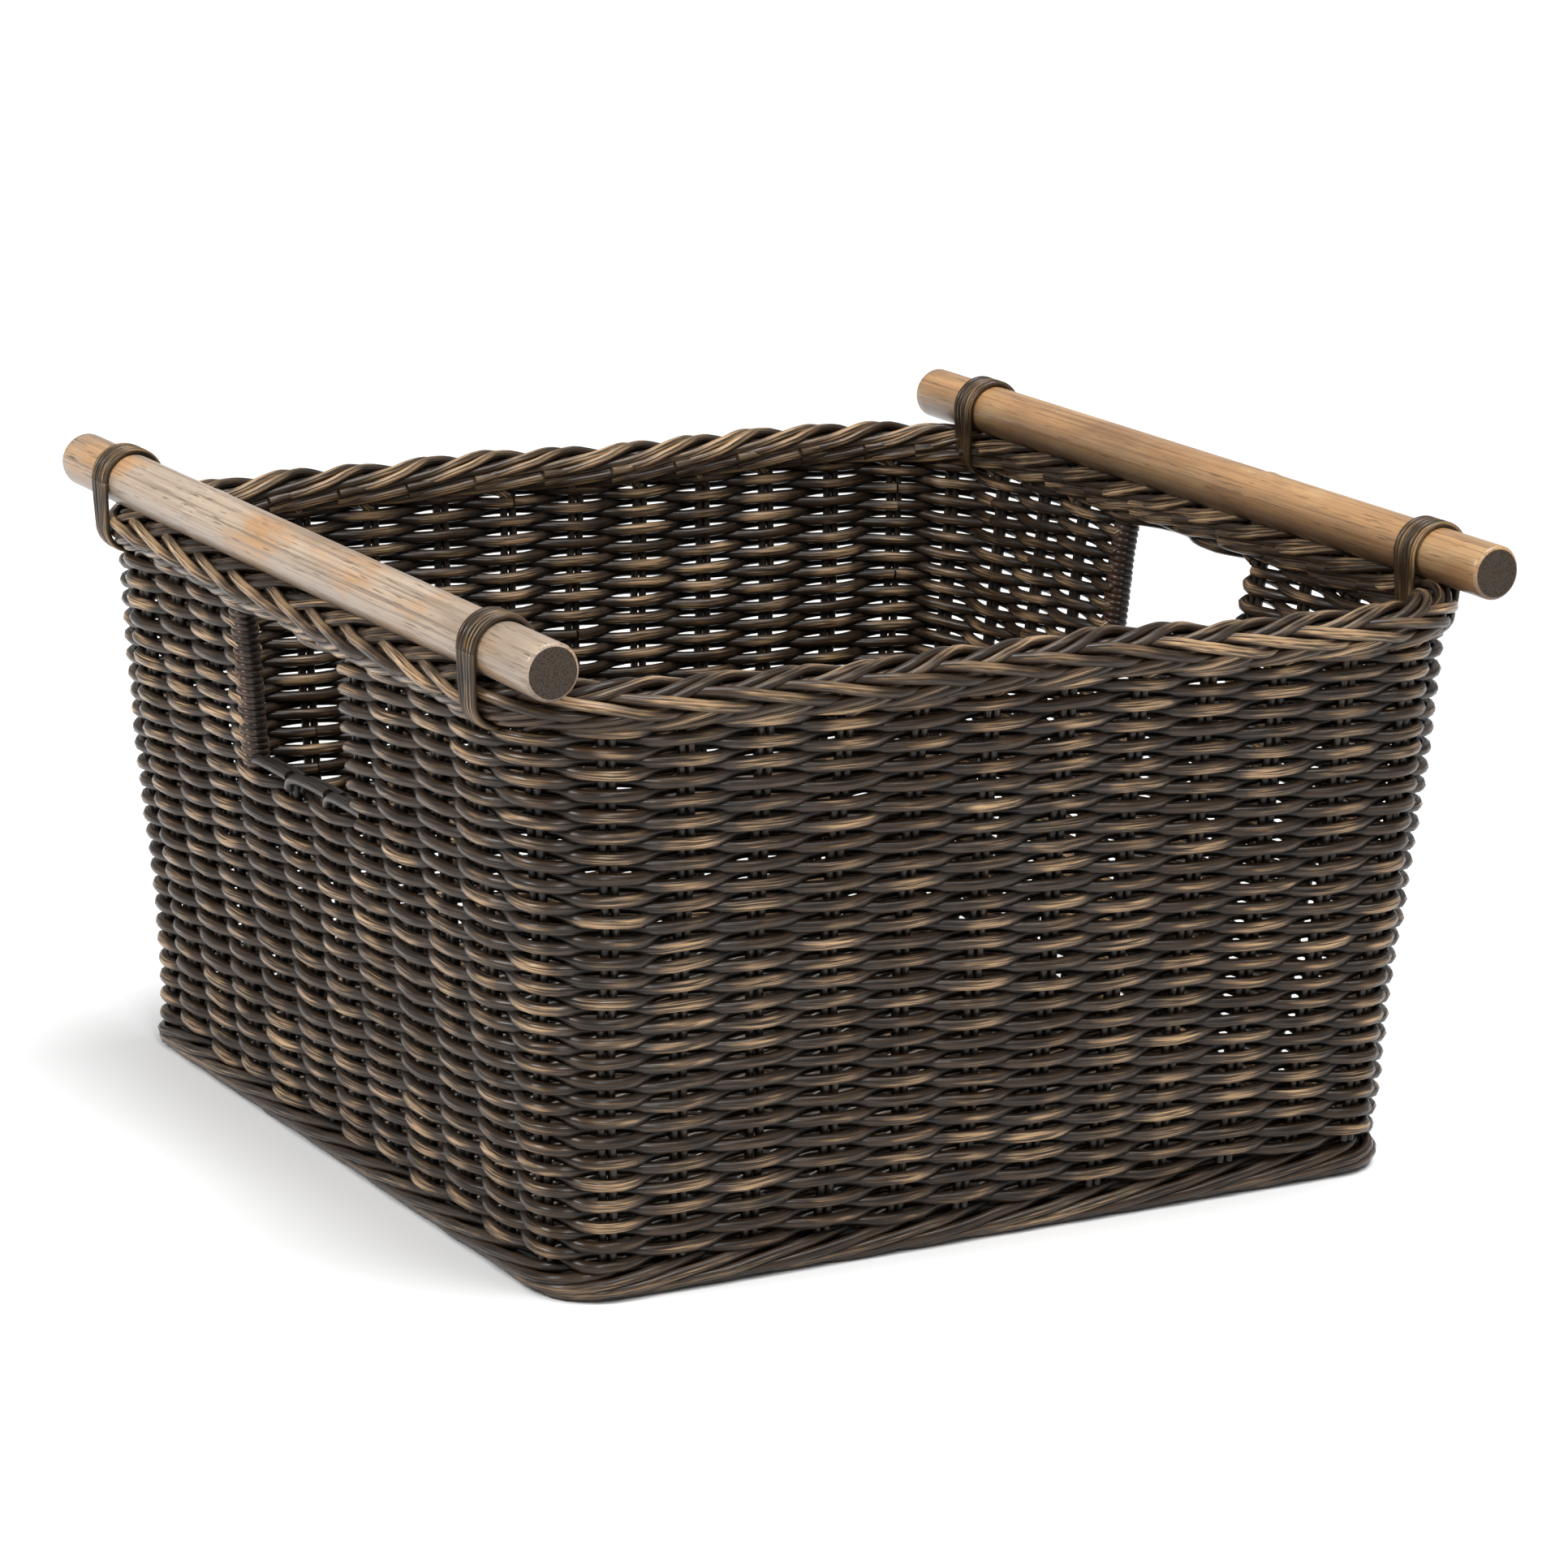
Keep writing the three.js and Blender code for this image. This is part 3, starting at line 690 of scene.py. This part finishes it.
# %% Border strands
# Each step of a path: stakes along, degrees round the border's section from outside
# over the top to inside, and how near the surface (1) or the core (0) it runs.
OVER_AND_IN = [
    (0, -98, 1.3), (0.25, -79, 0.92), (0.7, -52, 1), (1.2, -26, 1), (1.6, -8, 0.66),
    (2.0, 8, 0.5), (2.4, 26, 0.62), (2.8, 48, 0.95), (3.15, 76, 1.05), (3.45, 106, 1.05),
    (3.8, 136, 1), (4.25, 160, 0.88), (4.7, 177, 0.7), (5.2, 190, 0.86), (5.6, 199, 1)]
UNDER_AND_OUT = [
    (0, 262, 1.4), (0.4, 215, 0.5), (1.2, 150, 0.42), (2.0, 100, 0.42), (2.6, 66, 0.5),
    (3.05, 44, 0.78), (3.5, 26, 1.02), (3.95, 8, 1.06), (4.4, -11, 1.02), (4.8, -27, 0.72),
    (5.2, -42, 0.42)]
TUCKED_INSIDE = [(0, 184, 0.6), (0.5, 194, 0.85), (1.1, 211, 1), (1.7, 228, 0.95), (2.3, 246, 0.75)]
PAIR_RADIUS = 2.35 * MM
SINGLE_RADIUS = 2.65 * MM
TUCKED_RADIUS = 2.6 * MM
CORE_RADIUS = 2.9 * MM
CORE_RINGS = ((-3, -2.5), (-3, 2.5), (2, 0))      # millimetres up and out from the border's middle
BORDER_MIDDLE = (border_high + border_low) / 2
BORDER_HALF_HEIGHT = (border_high - border_low) / 2 - CORE_RADIUS
BORDER_HALF_WIDTH = 10 * MM
CORE = 5 * MM                                     # under the strands, where painted shade keeps them dark
IN_THE_WALL = 1.1                                 # a step past this is still down in the wall


def border_strand(stake, path, radius, aside=0.0):
    """One strand on its path, moved aside from it, and facing away from the border's own core."""
    along, degrees, near = smooth_path(path, PATH_STEPS).T
    angle = np.radians(degrees)
    run, climb = np.gradient(along) * STAKE_PITCH, np.gradient(angle) * BORDER_HALF_WIDTH
    slant = np.arctan2(climb, run)
    along = stake + along - np.sin(slant) * aside / STAKE_PITCH
    angle = (angle + np.cos(slant) * aside / BORDER_HALF_WIDTH)[:, None]
    level = BORDER_MIDDLE + BORDER_HALF_HEIGHT * near * np.sin(angle[:, 0])
    co, out = wall(along, level)
    co = co + out * BORDER_HALF_WIDTH * near[:, None] * np.cos(angle)
    away = out * np.cos(angle) + np.array([0, 0, 1]) * np.sin(angle)
    buried = 3 * np.maximum(near - IN_THE_WALL, 0)        # down there it keeps its painted shade
    return guide(co, away, radius, lift=CORE * (near - buried))


border_guides = []
for stake in range(STAKE_COUNT):
    first = 1 if stake in HOLE_STAKES else 0      # no stake below: the strand starts in the border
    for aside in (-PAIR_RADIUS, PAIR_RADIUS):
        border_guides.append(border_strand(stake, OVER_AND_IN[first:], PAIR_RADIUS, aside))
    border_guides.append(border_strand(stake, UNDER_AND_OUT[first:], SINGLE_RADIUS))
    border_guides.append(border_strand(stake, TUCKED_INSIDE, TUCKED_RADIUS))
for row in (ROWS, ROWS + 1):                      # the last weaving, half hidden by the plait
    border_guides += ring_row(row)
for level, depth in CORE_RINGS:                   # filling in the core
    border_guides.append(ring_guide(BORDER_MIDDLE + level * MM, depth * MM, CORE_RADIUS))
border = swept("border_strands", border_guides, border_rattan, wave=WEAVER_LIFT, sides=10,
               reach=CORE + CORE_RADIUS)
fit(border, "border_rattan", "top_border")

# %% [markdown]
# ## The foot border
# The lower ends of the stakes are turned up round the foot, each slanting up
# to the right over the last one and tucked in behind the next. Plain rings
# fill the space that the strands cross, so the foot is closed from inside too.

# %% Foot strands
# Each step of the path: stakes along, millimetres out from the wall's middle, millimetres up.
FOOT_PATH = [(-0.6, -3, 3.3), (0, 3.4, 3.3), (0.6, 5.4, 3.6), (1.3, 6.1, 5.3),
             (2.0, 6, 8), (2.6, 4.4, 11), (3.1, 0.5, 12.8), (3.5, -3.5, 13.2)]
FOOT_RINGS = ((2.8, -5), (7, -5), (11.4, -4.8), (3, 0), (7.2, -0.5), (11.2, -1))  # mm up and out
FOOT_STRAND_RADIUS = 2.7 * MM
FOOT_RING_RADIUS = 2.15 * MM
foot_guides = []
along, out_by, level = np.array(FOOT_PATH).T
for stake in range(STAKE_COUNT):
    foot_guides.append(strand(stake, along, out_by * MM, level * MM, FOOT_STRAND_RADIUS))
for level, depth in FOOT_RINGS:
    foot_guides.append(ring_guide(level * MM, depth * MM, FOOT_RING_RADIUS, lift=depth * MM))
foot = swept("foot_strands", foot_guides, border_rattan, uneven=2 * MM, wander=0.0, reach=10 * MM)
fit(foot, "border_rattan", "foot_border")

# %% [markdown]
# ## The woven base
# Sticks run from front to back and finer rods are woven across them, row by
# row, trimmed to the rounded outline of the foot.

# %% Base
BASE_STICKS = 13
BASE_ROD_RADIUS = 1.75 * MM
BASE_STICK_RADIUS = 2.3 * MM
BASE_ROW_PITCH = 2.1 * BASE_ROD_RADIUS            # at least, for the rows have to fill the base
BASE_LIFT = 2.7 * MM                              # a rod's middle over or under the sticks
BASE_CORNER = 20 * MM
BASE_MARGIN = 0.4 * MM                            # the ends, in from the outline
BASE_STEPS = 4                                    # points from one stick to the next
BASE_STICK_POINTS = 16
UP = np.array([0.0, 0.0, 1.0])
base_low, base_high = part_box("base_mat")
base_level = (base_low.z + base_high.z) / 2


def base_half(off, half_off, half):
    """Half the base's extent across, at distance off from its middle."""
    past = np.maximum(0, np.abs(off) - (half_off - BASE_CORNER))
    return half - BASE_CORNER + np.sqrt(np.maximum(0, BASE_CORNER**2 - past**2))


base_guides = []
stick_gap = 2 * base_high.x / BASE_STICKS
base_rows = int(2 * base_high.y / BASE_ROW_PITCH)
for row in range(base_rows):
    y = -base_high.y + (row + 0.5) * 2 * base_high.y / base_rows
    reach = base_half(y, base_high.y, base_high.x) - BASE_MARGIN
    x = np.linspace(-reach, reach, BASE_STICKS * BASE_STEPS)
    co = np.stack([x, 0 * x + y, 0 * x + base_level], 1)
    base_guides.append(guide(co, UP, BASE_ROD_RADIUS, phase=x / stick_gap + row))
for stick in range(BASE_STICKS):
    x = (stick - (BASE_STICKS - 1) / 2) * stick_gap
    reach = base_half(x, base_high.x, base_high.y) - BASE_MARGIN
    y = np.linspace(-reach, reach, BASE_STICK_POINTS)
    co = np.stack([0 * y + x, y, 0 * y + base_level], 1)
    base_guides.append(guide(co, UP, BASE_STICK_RADIUS))
base = swept("base_weave", base_guides, base_rattan, wave=BASE_LIFT, sides=6,
             uneven=1.5 * MM, wander=2 * MM, reach=4.4 * MM)
fit(base, "base_rattan", "base_mat")

# %% [markdown]
# ## The pole handles
# Each end has a thick rattan pole: not quite round, not quite straight, with a
# ring where a leaf grew. It is drawn as rings of points along its length, with
# the chamfer at its ends, and closed with an end face that is slightly hollow
# where the soft core shrank.

# %% Poles
POLE_SIDES = 56
POLE_RINGS = 90
CHAMFER = 1.6 * MM
CHAMFER_ROUND = 1.6                               # 1 is a flat chamfer, more is a rounder one
LEAF_RISE, LEAF_WIDTH = 0.5 * MM, 4 * MM          # the ring where a leaf grew
GROOVE_DEPTH, GROOVE_OFF, GROOVE_WIDTH = 0.4 * MM, 5 * MM, 2 * MM       # and the groove after it
OUT_OF_ROUND = 0.006                              # of the radius, for each of four slow waves
SKIN_DEPTH = 0.12 * MM                            # keeps the uneven skin inside the pole's true size
BEND = 0.2 * MM
HOLLOW_RINGS = ((0.8, 0.25 * MM), (0.45, 0.6 * MM))       # of the end's radius, and how deep
HOLLOW_MIDDLE = 0.7 * MM


def pole_points(node, leaf_at, seed):
    """Rings of points along the pole in the box of its CAD node, each a row of the result."""
    low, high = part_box(node)
    middle, radius, half = (low + high) / 2, (high.z - low.z) / 2, (high.y - low.y) / 2
    waves = np.random.default_rng(seed).uniform(-1, 1, (4, 3))
    near_end = np.array([0, 0.4, 1]) * CHAMFER
    y = np.concatenate([near_end - half,
                        np.linspace(-half + 4 * CHAMFER, half - 4 * CHAMFER, POLE_RINGS),
                        half - near_end[::-1]])
    end = half - np.abs(y)
    size = radius - CHAMFER * np.clip(1 - end / CHAMFER, 0, 1) ** CHAMFER_ROUND
    size = size + LEAF_RISE * np.exp(-(((y - leaf_at) / LEAF_WIDTH) ** 2))
    size = size - GROOVE_DEPTH * np.exp(-(((y - leaf_at - GROOVE_OFF) / GROOVE_WIDTH) ** 2))
    angle = np.arange(POLE_SIDES) * 2 * math.pi / POLE_SIDES
    a, along = np.meshgrid(angle, y)
    uneven = sum(height * np.cos(a * (i + 2) + turn * 6 + along * 9 * twist)
                 for i, (height, turn, twist) in enumerate(waves))
    r = size[:, None] * (1 + OUT_OF_ROUND * uneven) - SKIN_DEPTH
    bend = BEND * np.sin(along * 7 + seed)
    return np.stack([middle.x + r * np.sin(a), middle.y + along, middle.z + r * np.cos(a) + bend], -1)


def close_end(verts, faces, rim, inward):
    """Close one end with a face that is slightly hollow: two rings and a middle point."""
    edge = np.array([verts[i] for i in rim])
    middle = edge.mean(0)

    def add_face(*corners):
        faces.append(corners if inward > 0 else corners[::-1])

    for share, depth in HOLLOW_RINGS:
        inner = np.arange(POLE_SIDES) + len(verts)
        verts += (edge * share + middle * (1 - share) + np.array([0, inward * depth, 0])).tolist()
        for i in range(POLE_SIDES):
            j = (i + 1) % POLE_SIDES
            add_face(rim[i], rim[j], inner[j], inner[i])
        rim = inner
    verts.append((middle + np.array([0, inward * HOLLOW_MIDDLE, 0])).tolist())
    for i in range(POLE_SIDES):
        add_face(rim[i], rim[(i + 1) % POLE_SIDES], len(verts) - 1)


def pole_piece(name, node, leaf_at, seed, skin, cut):
    """A closed pole with two finishes, and its distance from the axis stored for the cut ends."""
    points = pole_points(node, leaf_at, seed)
    index = np.arange(len(points) * POLE_SIDES).reshape(-1, POLE_SIDES)
    ahead = np.roll(index, -1, 1)
    faces = np.stack([index[:-1], index[1:], ahead[1:], ahead[:-1]], -1).reshape(-1, 4).tolist()
    verts, skin_count = points.reshape(-1, 3).tolist(), len(faces)
    close_end(verts, faces, index[0], 1)
    close_end(verts, faces, index[-1], -1)
    mesh = bpy.data.meshes.new(name)
    mesh.from_pydata(verts, [], faces)
    mesh.shade_smooth()
    is_cut = np.arange(len(faces)) >= skin_count
    mesh.polygons.foreach_set("material_index", is_cut.astype("i"))
    low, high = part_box(node)
    off = np.array(verts) - np.array((low + high) / 2)
    radial = np.hypot(off[:, 0], off[:, 2]) / ((high.z - low.z) / 2)
    mesh.attributes.new("radial", "FLOAT", "POINT").data.foreach_set("value", radial.astype("f"))
    mesh.materials.append(skin)
    mesh.materials.append(cut)
    piece = bpy.data.objects.new(name, mesh)
    bpy.context.scene.collection.objects.link(piece)
    return piece


# %% [markdown]
# ## The skin and the cut ends of the poles
# The skin is stripped rattan under lacquer: long fine fibres, orange and grey
# blotches and small dark flecks, with painted shade on its lower side. The cut
# end shows the open tubes of the cane, so it is dull and pitted, with a darker
# ring at the rim.

# %% Pole finishes
# How often each pattern changes in a metre: across, along and across the pole.
POLE_FIBRES = (1100.0, 16.0, 1100.0)
POLE_LINES = (520.0, 6.0, 520.0)
POLE_PATCHES = (45.0, 16.0, 45.0)
POLE_CLOUDS = (34.0, 8.0, 34.0)
POLE_DASHES = (1300.0, 55.0, 1300.0)
CUT_STAINS = (160.0, 160.0, 160.0)
PORES = 1100.0                                    # open tubes in a metre of the cut end
SHADE_EDGE = 18 * MM                              # how far the edge of the painted shade on the lower side comes and goes


def pole_finish(name, node, base, blotch, streak, shade_and_fleck_colour, shaded, flecks, coat):
    """The pole's skin in four colours, with painted shade below the share shaded of its height."""
    material, bench, shader = blank_finish(name)
    place = bench.add("ShaderNodeTexCoord").out("Object")
    fibres = stretched_noise(bench, place, POLE_FIBRES, 4.0)
    lines = stretched_noise(bench, place, POLE_LINES, 2.0)
    patch = stretched_noise(bench, place, POLE_PATCHES, 5.0)
    cloud = stretched_noise(bench, place, POLE_CLOUDS, 3.0)
    dashes = bench.ease(stretched_noise(bench, place, POLE_DASHES, 1.0), 0.62, 0.72)
    low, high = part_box(node)
    height = bench.add("ShaderNodeSeparateXYZ", {}, {0: place}).out("Z")
    # Painted shade: the lower side of the pole is darker, up to the share shaded of its height.
    level = height + (cloud - 0.5) * SHADE_EDGE
    under = 1 - bench.ease(level, low.z, low.z + (high.z - low.z) * shaded)
    colour = mix_colour(bench, bench.ease(patch, 0.45, 0.64), base, blotch)
    colour = mix_colour(bench, bench.ease(cloud, 0.4, 0.72) * 0.7, colour, streak)
    colour = mix_colour(bench, under * 0.88, colour, shade_and_fleck_colour)
    colour = mix_colour(bench, bench.ease(lines, 0.52, 0.66) * flecks, colour, streak)
    # The dark flecks use the same colour as the painted shade on the lower side.
    colour = mix_colour(bench, dashes * flecks, colour, shade_and_fleck_colour)
    colour = bench.vector("SCALE", colour, scale=fibres * 0.9 + 0.55)
    links = bench.tree.links
    links.new(colour.socket, shader.inputs["Base Color"])
    links.new((0.36 + fibres * 0.2).socket, shader.inputs["Roughness"])
    shader.inputs["Coat Weight"].default_value = coat
    shader.inputs["Coat Roughness"].default_value = 0.2
    bump = bench.add("ShaderNodeBump", {}, {
        "Strength": 0.45, "Distance": 0.3 * MM, "Height": fibres + lines * 0.8 - dashes * 0.5})
    links.new(bump.socket, shader.inputs["Normal"])
    return material


def cut_finish(name, pore, core, stained, edge):
    """The cut end in four colours: its pores, the core between them, its stain and its rim."""
    material, bench, shader = blank_finish(name)
    place = bench.add("ShaderNodeTexCoord").out("Object")
    pores = bench.add("ShaderNodeTexVoronoi", {}, {"Vector": place, "Scale": PORES})
    stain = stretched_noise(bench, place, CUT_STAINS, 4.0)
    radial = attribute(bench, "radial")
    colour = mix_colour(bench, bench.ease(pores, 0.15, 0.5), pore, core)
    colour = mix_colour(bench, bench.ease(stain, 0.4, 0.7) * 0.4, colour, stained)
    colour = mix_colour(bench, bench.ease(radial, 0.84, 0.93), colour, edge)
    links = bench.tree.links
    links.new(colour.socket, shader.inputs["Base Color"])
    shader.inputs["Roughness"].default_value = 0.8
    shader.inputs["Specular IOR Level"].default_value = 0.2
    bump = bench.add("ShaderNodeBump", {}, {
        "Strength": 0.7, "Distance": 0.4 * MM, "Height": pores + stain * 0.5})
    links.new(bump.socket, shader.inputs["Normal"])
    return material


cut_end = cut_finish(
    "cut_cane_end", pore=(0.01, 0.007, 0.005, 1), core=(0.055, 0.04, 0.029, 1),
    stained=(0.045, 0.037, 0.032, 1), edge=(0.02, 0.012, 0.007, 1))
grey_pole = pole_finish(
    "grey_pole", "left_pole_handle", base=(0.42, 0.325, 0.24, 1), blotch=(0.44, 0.25, 0.115, 1),
    streak=(0.2, 0.145, 0.1, 1), shade_and_fleck_colour=(0.09, 0.058, 0.035, 1),
    shaded=0.65, flecks=0.85, coat=0.35)
brown_pole = pole_finish(
    "brown_pole", "right_pole_handle", base=(0.46, 0.255, 0.108, 1), blotch=(0.56, 0.35, 0.16, 1),
    streak=(0.18, 0.088, 0.038, 1), shade_and_fleck_colour=(0.04, 0.02, 0.01, 1),
    shaded=0.92, flecks=0.5, coat=0.5)
for side, slot, skin, leaf_at, seed in (("left", "grey_pole", grey_pole, 96 * MM, 5),
                                        ("right", "brown_pole", brown_pole, -60 * MM, 8)):
    node = side + "_pole_handle"
    pole = pole_piece(side + "_pole", node, leaf_at, seed, skin, cut_end)
    fit(pole, slot, node)

# %% [markdown]
# ## The lashings
# Two bands of cane hold each pole on the border. Each band is one strand taken
# round five times: side by side over the pole, drawn together where it passes
# through the wall under the border. Here each turn is a loop of its own.

# %% Lashings
LASH_STRANDS = 5
LASH_RADIUS = 1.6 * MM
LASH_LIFT = 2.4 * MM                              # the finish takes a strand to stand out so far
LASH_POINTS = 13                                  # in the half turn over the pole, and in the one below
UNDER_DEPTH = 13 * MM                             # height of the half turn through the wall
LOOP_MIDDLE = 17 * MM                             # over the border's lower edge; strands face away
DRAWN_IN = 0.55                                   # of the band's width, under the border
RIPPLE, RIPPLE_WAVES, RIPPLE_SHIFT = 0.25 * MM, 160, 2.1
border_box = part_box("top_border")


def lashing_guides(node, pole_node):
    """The turns of one lashing, each a loop round the pole and the border back to its start."""
    low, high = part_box(node)
    pole_low, pole_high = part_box(pole_node)
    centre = (pole_low + pole_high) / 2
    side = 1 if centre.x > 0 else -1
    round_pole = (pole_high.z - pole_low.z) / 2 + LASH_RADIUS
    middle_y, half_band = (low.y + high.y) / 2, (high.y - low.y) / 2 - LASH_RADIUS
    angle = np.radians(np.linspace(0, 180, LASH_POINTS))
    over = np.stack([np.cos(angle) * round_pole, centre.z + np.sin(angle) * round_pole], 1)
    half_border = (border_box[1].x - border_box[0].x) / 2 - abs(centre.x) - LASH_RADIUS * 0.5
    angle = np.radians(np.linspace(180, 360, LASH_POINTS))
    levels = border_low + UNDER_DEPTH + np.sin(angle) * UNDER_DEPTH
    under = np.stack([np.cos(angle) * half_border, levels], 1)
    down, up = np.linspace(over[-1], under[0], 4)[1:-1], np.linspace(under[-1], over[0], 4)[1:]
    loop = smooth_path(np.vstack([over, down, under, up]), 2)
    rise = np.clip((loop[:, 1] - border_low) / (centre.z - border_low), 0, 1)
    spread = DRAWN_IN + rise * (1 - DRAWN_IN)
    away = np.stack([loop[:, 0] * side, 0 * spread, loop[:, 1] - (border_low + LOOP_MIDDLE)], 1)
    away /= np.linalg.norm(away, axis=1, keepdims=True)
    rods = []
    for strand_number in range(LASH_STRANDS):
        offset = (strand_number / (LASH_STRANDS - 1) * 2 - 1) * half_band
        ripple = RIPPLE * np.sin(loop[:, 1] * RIPPLE_WAVES + strand_number * RIPPLE_SHIFT)
        y = middle_y + offset * spread + ripple
        co = np.stack([centre.x + side * loop[:, 0], y, loop[:, 1]], 1)
        rods.append(guide(co, away, LASH_RADIUS, lift=LASH_LIFT))
    return rods


for side in ("left", "right"):
    for end in ("front", "back"):
        node = f"{side}_{end}_lashing"
        rods = lashing_guides(node, side + "_pole_handle")
        lashing = swept(node + "_cane", rods, lashing_cane,
                        uneven=0.8 * MM, wander=0.0, reach=4.0 * MM)
        fit(lashing, "lashing_cane", node)

# %% [markdown]
# ## Floor, light and camera
# The basket stands on a plain pale floor under broad soft lights. The key hangs
# high over it, a little to the right and the front, which lays a soft shadow to
# the left. Two soft boxes light the front and the left end, and a white world
# fills in. The camera looks down a little on the front and left end.

# %% Floor


def studio_floor(half):
    """A square floor that reaches half metres each way."""
    mesh = bpy.data.meshes.new("floor")
    corners = [(-half, -half, 0), (half, -half, 0), (half, half, 0), (-half, half, 0)]
    mesh.from_pydata(corners, [], [(0, 1, 2, 3)])
    floor = bpy.data.objects.new("floor", mesh)
    bpy.context.scene.collection.objects.link(floor)
    material, _, shader = blank_finish("pale_floor")
    shader.inputs["Base Color"].default_value = (0.92, 0.92, 0.92, 1)
    shader.inputs["Roughness"].default_value = 0.9
    mesh.materials.append(material)
    floor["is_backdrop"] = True


studio_floor(8.0)

# %% Lights
AIM = Vector((0, 0, 0.12))                        # a little under the basket's middle


def aimed(name, lamp, place):
    """Hang the lamp at place and point it at the basket."""
    light = bpy.data.objects.new(name, lamp)
    light.location = place
    light.rotation_euler = (AIM - Vector(place)).to_track_quat("-Z", "Y").to_euler()
    bpy.context.scene.collection.objects.link(light)
    print(f"{name}: {lamp.energy:g} from {place}")


def broad_sun(name, place, strength, softness):
    """A far lamp, even over the whole floor, as wide as softness in degrees."""
    lamp = bpy.data.lights.new(name, "SUN")
    lamp.energy, lamp.angle = strength, math.radians(softness)
    aimed(name, lamp, place)


def soft_box(name, place, size, power):
    """A round area lamp, size metres across."""
    lamp = bpy.data.lights.new(name, "AREA")
    lamp.shape, lamp.size, lamp.energy = "DISK", size, power
    aimed(name, lamp, place)


broad_sun("key", (0.55, -0.45, 2.8), 2.6, 34)
soft_box("front_box", (-0.9, -2.4, 2.2), 1.0, 32)
soft_box("left_box", (-2.4, 0.2, 1.9), 1.0, 40)
world = bpy.data.worlds.new("studio")
world.use_nodes = True
world.node_tree.nodes["Background"].inputs["Color"].default_value = (1, 1, 1, 1)
world.node_tree.nodes["Background"].inputs["Strength"].default_value = 0.41
bpy.context.scene.world = world
bpy.context.scene.view_settings.view_transform = "Standard"

# %% Camera


def set_camera(place, yaw, pitch, roll, lens):
    """A camera at place, turned yaw from +Y towards +X, tilted by pitch and rolled."""
    yaw, pitch, roll = (math.radians(v) for v in (yaw, pitch, roll))
    flat = math.cos(pitch)
    forward = Vector((flat * math.sin(yaw), flat * math.cos(yaw), math.sin(pitch)))
    level = Vector((math.cos(yaw), -math.sin(yaw), 0))
    above = level.cross(forward)
    right = level * math.cos(roll) + above * math.sin(roll)
    up = above * math.cos(roll) - level * math.sin(roll)
    data = bpy.data.cameras.new("camera")
    data.lens, data.sensor_width, data.clip_end = lens, 36, 50
    camera = bpy.data.objects.new("camera", data)
    turned = Matrix((right, up, -forward)).transposed().to_4x4()
    camera.matrix_world = Matrix.Translation(place) @ turned
    bpy.context.scene.collection.objects.link(camera)
    bpy.context.scene.camera = camera
    print(f"camera: {lens:g} mm lens, {Vector(place).length:.2f} m from the basket's foot")


set_camera((-1.2502, -2.1087, 0.8004), yaw=30.92, pitch=-14.67, roll=1.77, lens=121.24)

# %% Print the visual box
low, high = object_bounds()
print("visual box", [round(v, 4) for v in low], [round(v, 4) for v in high])
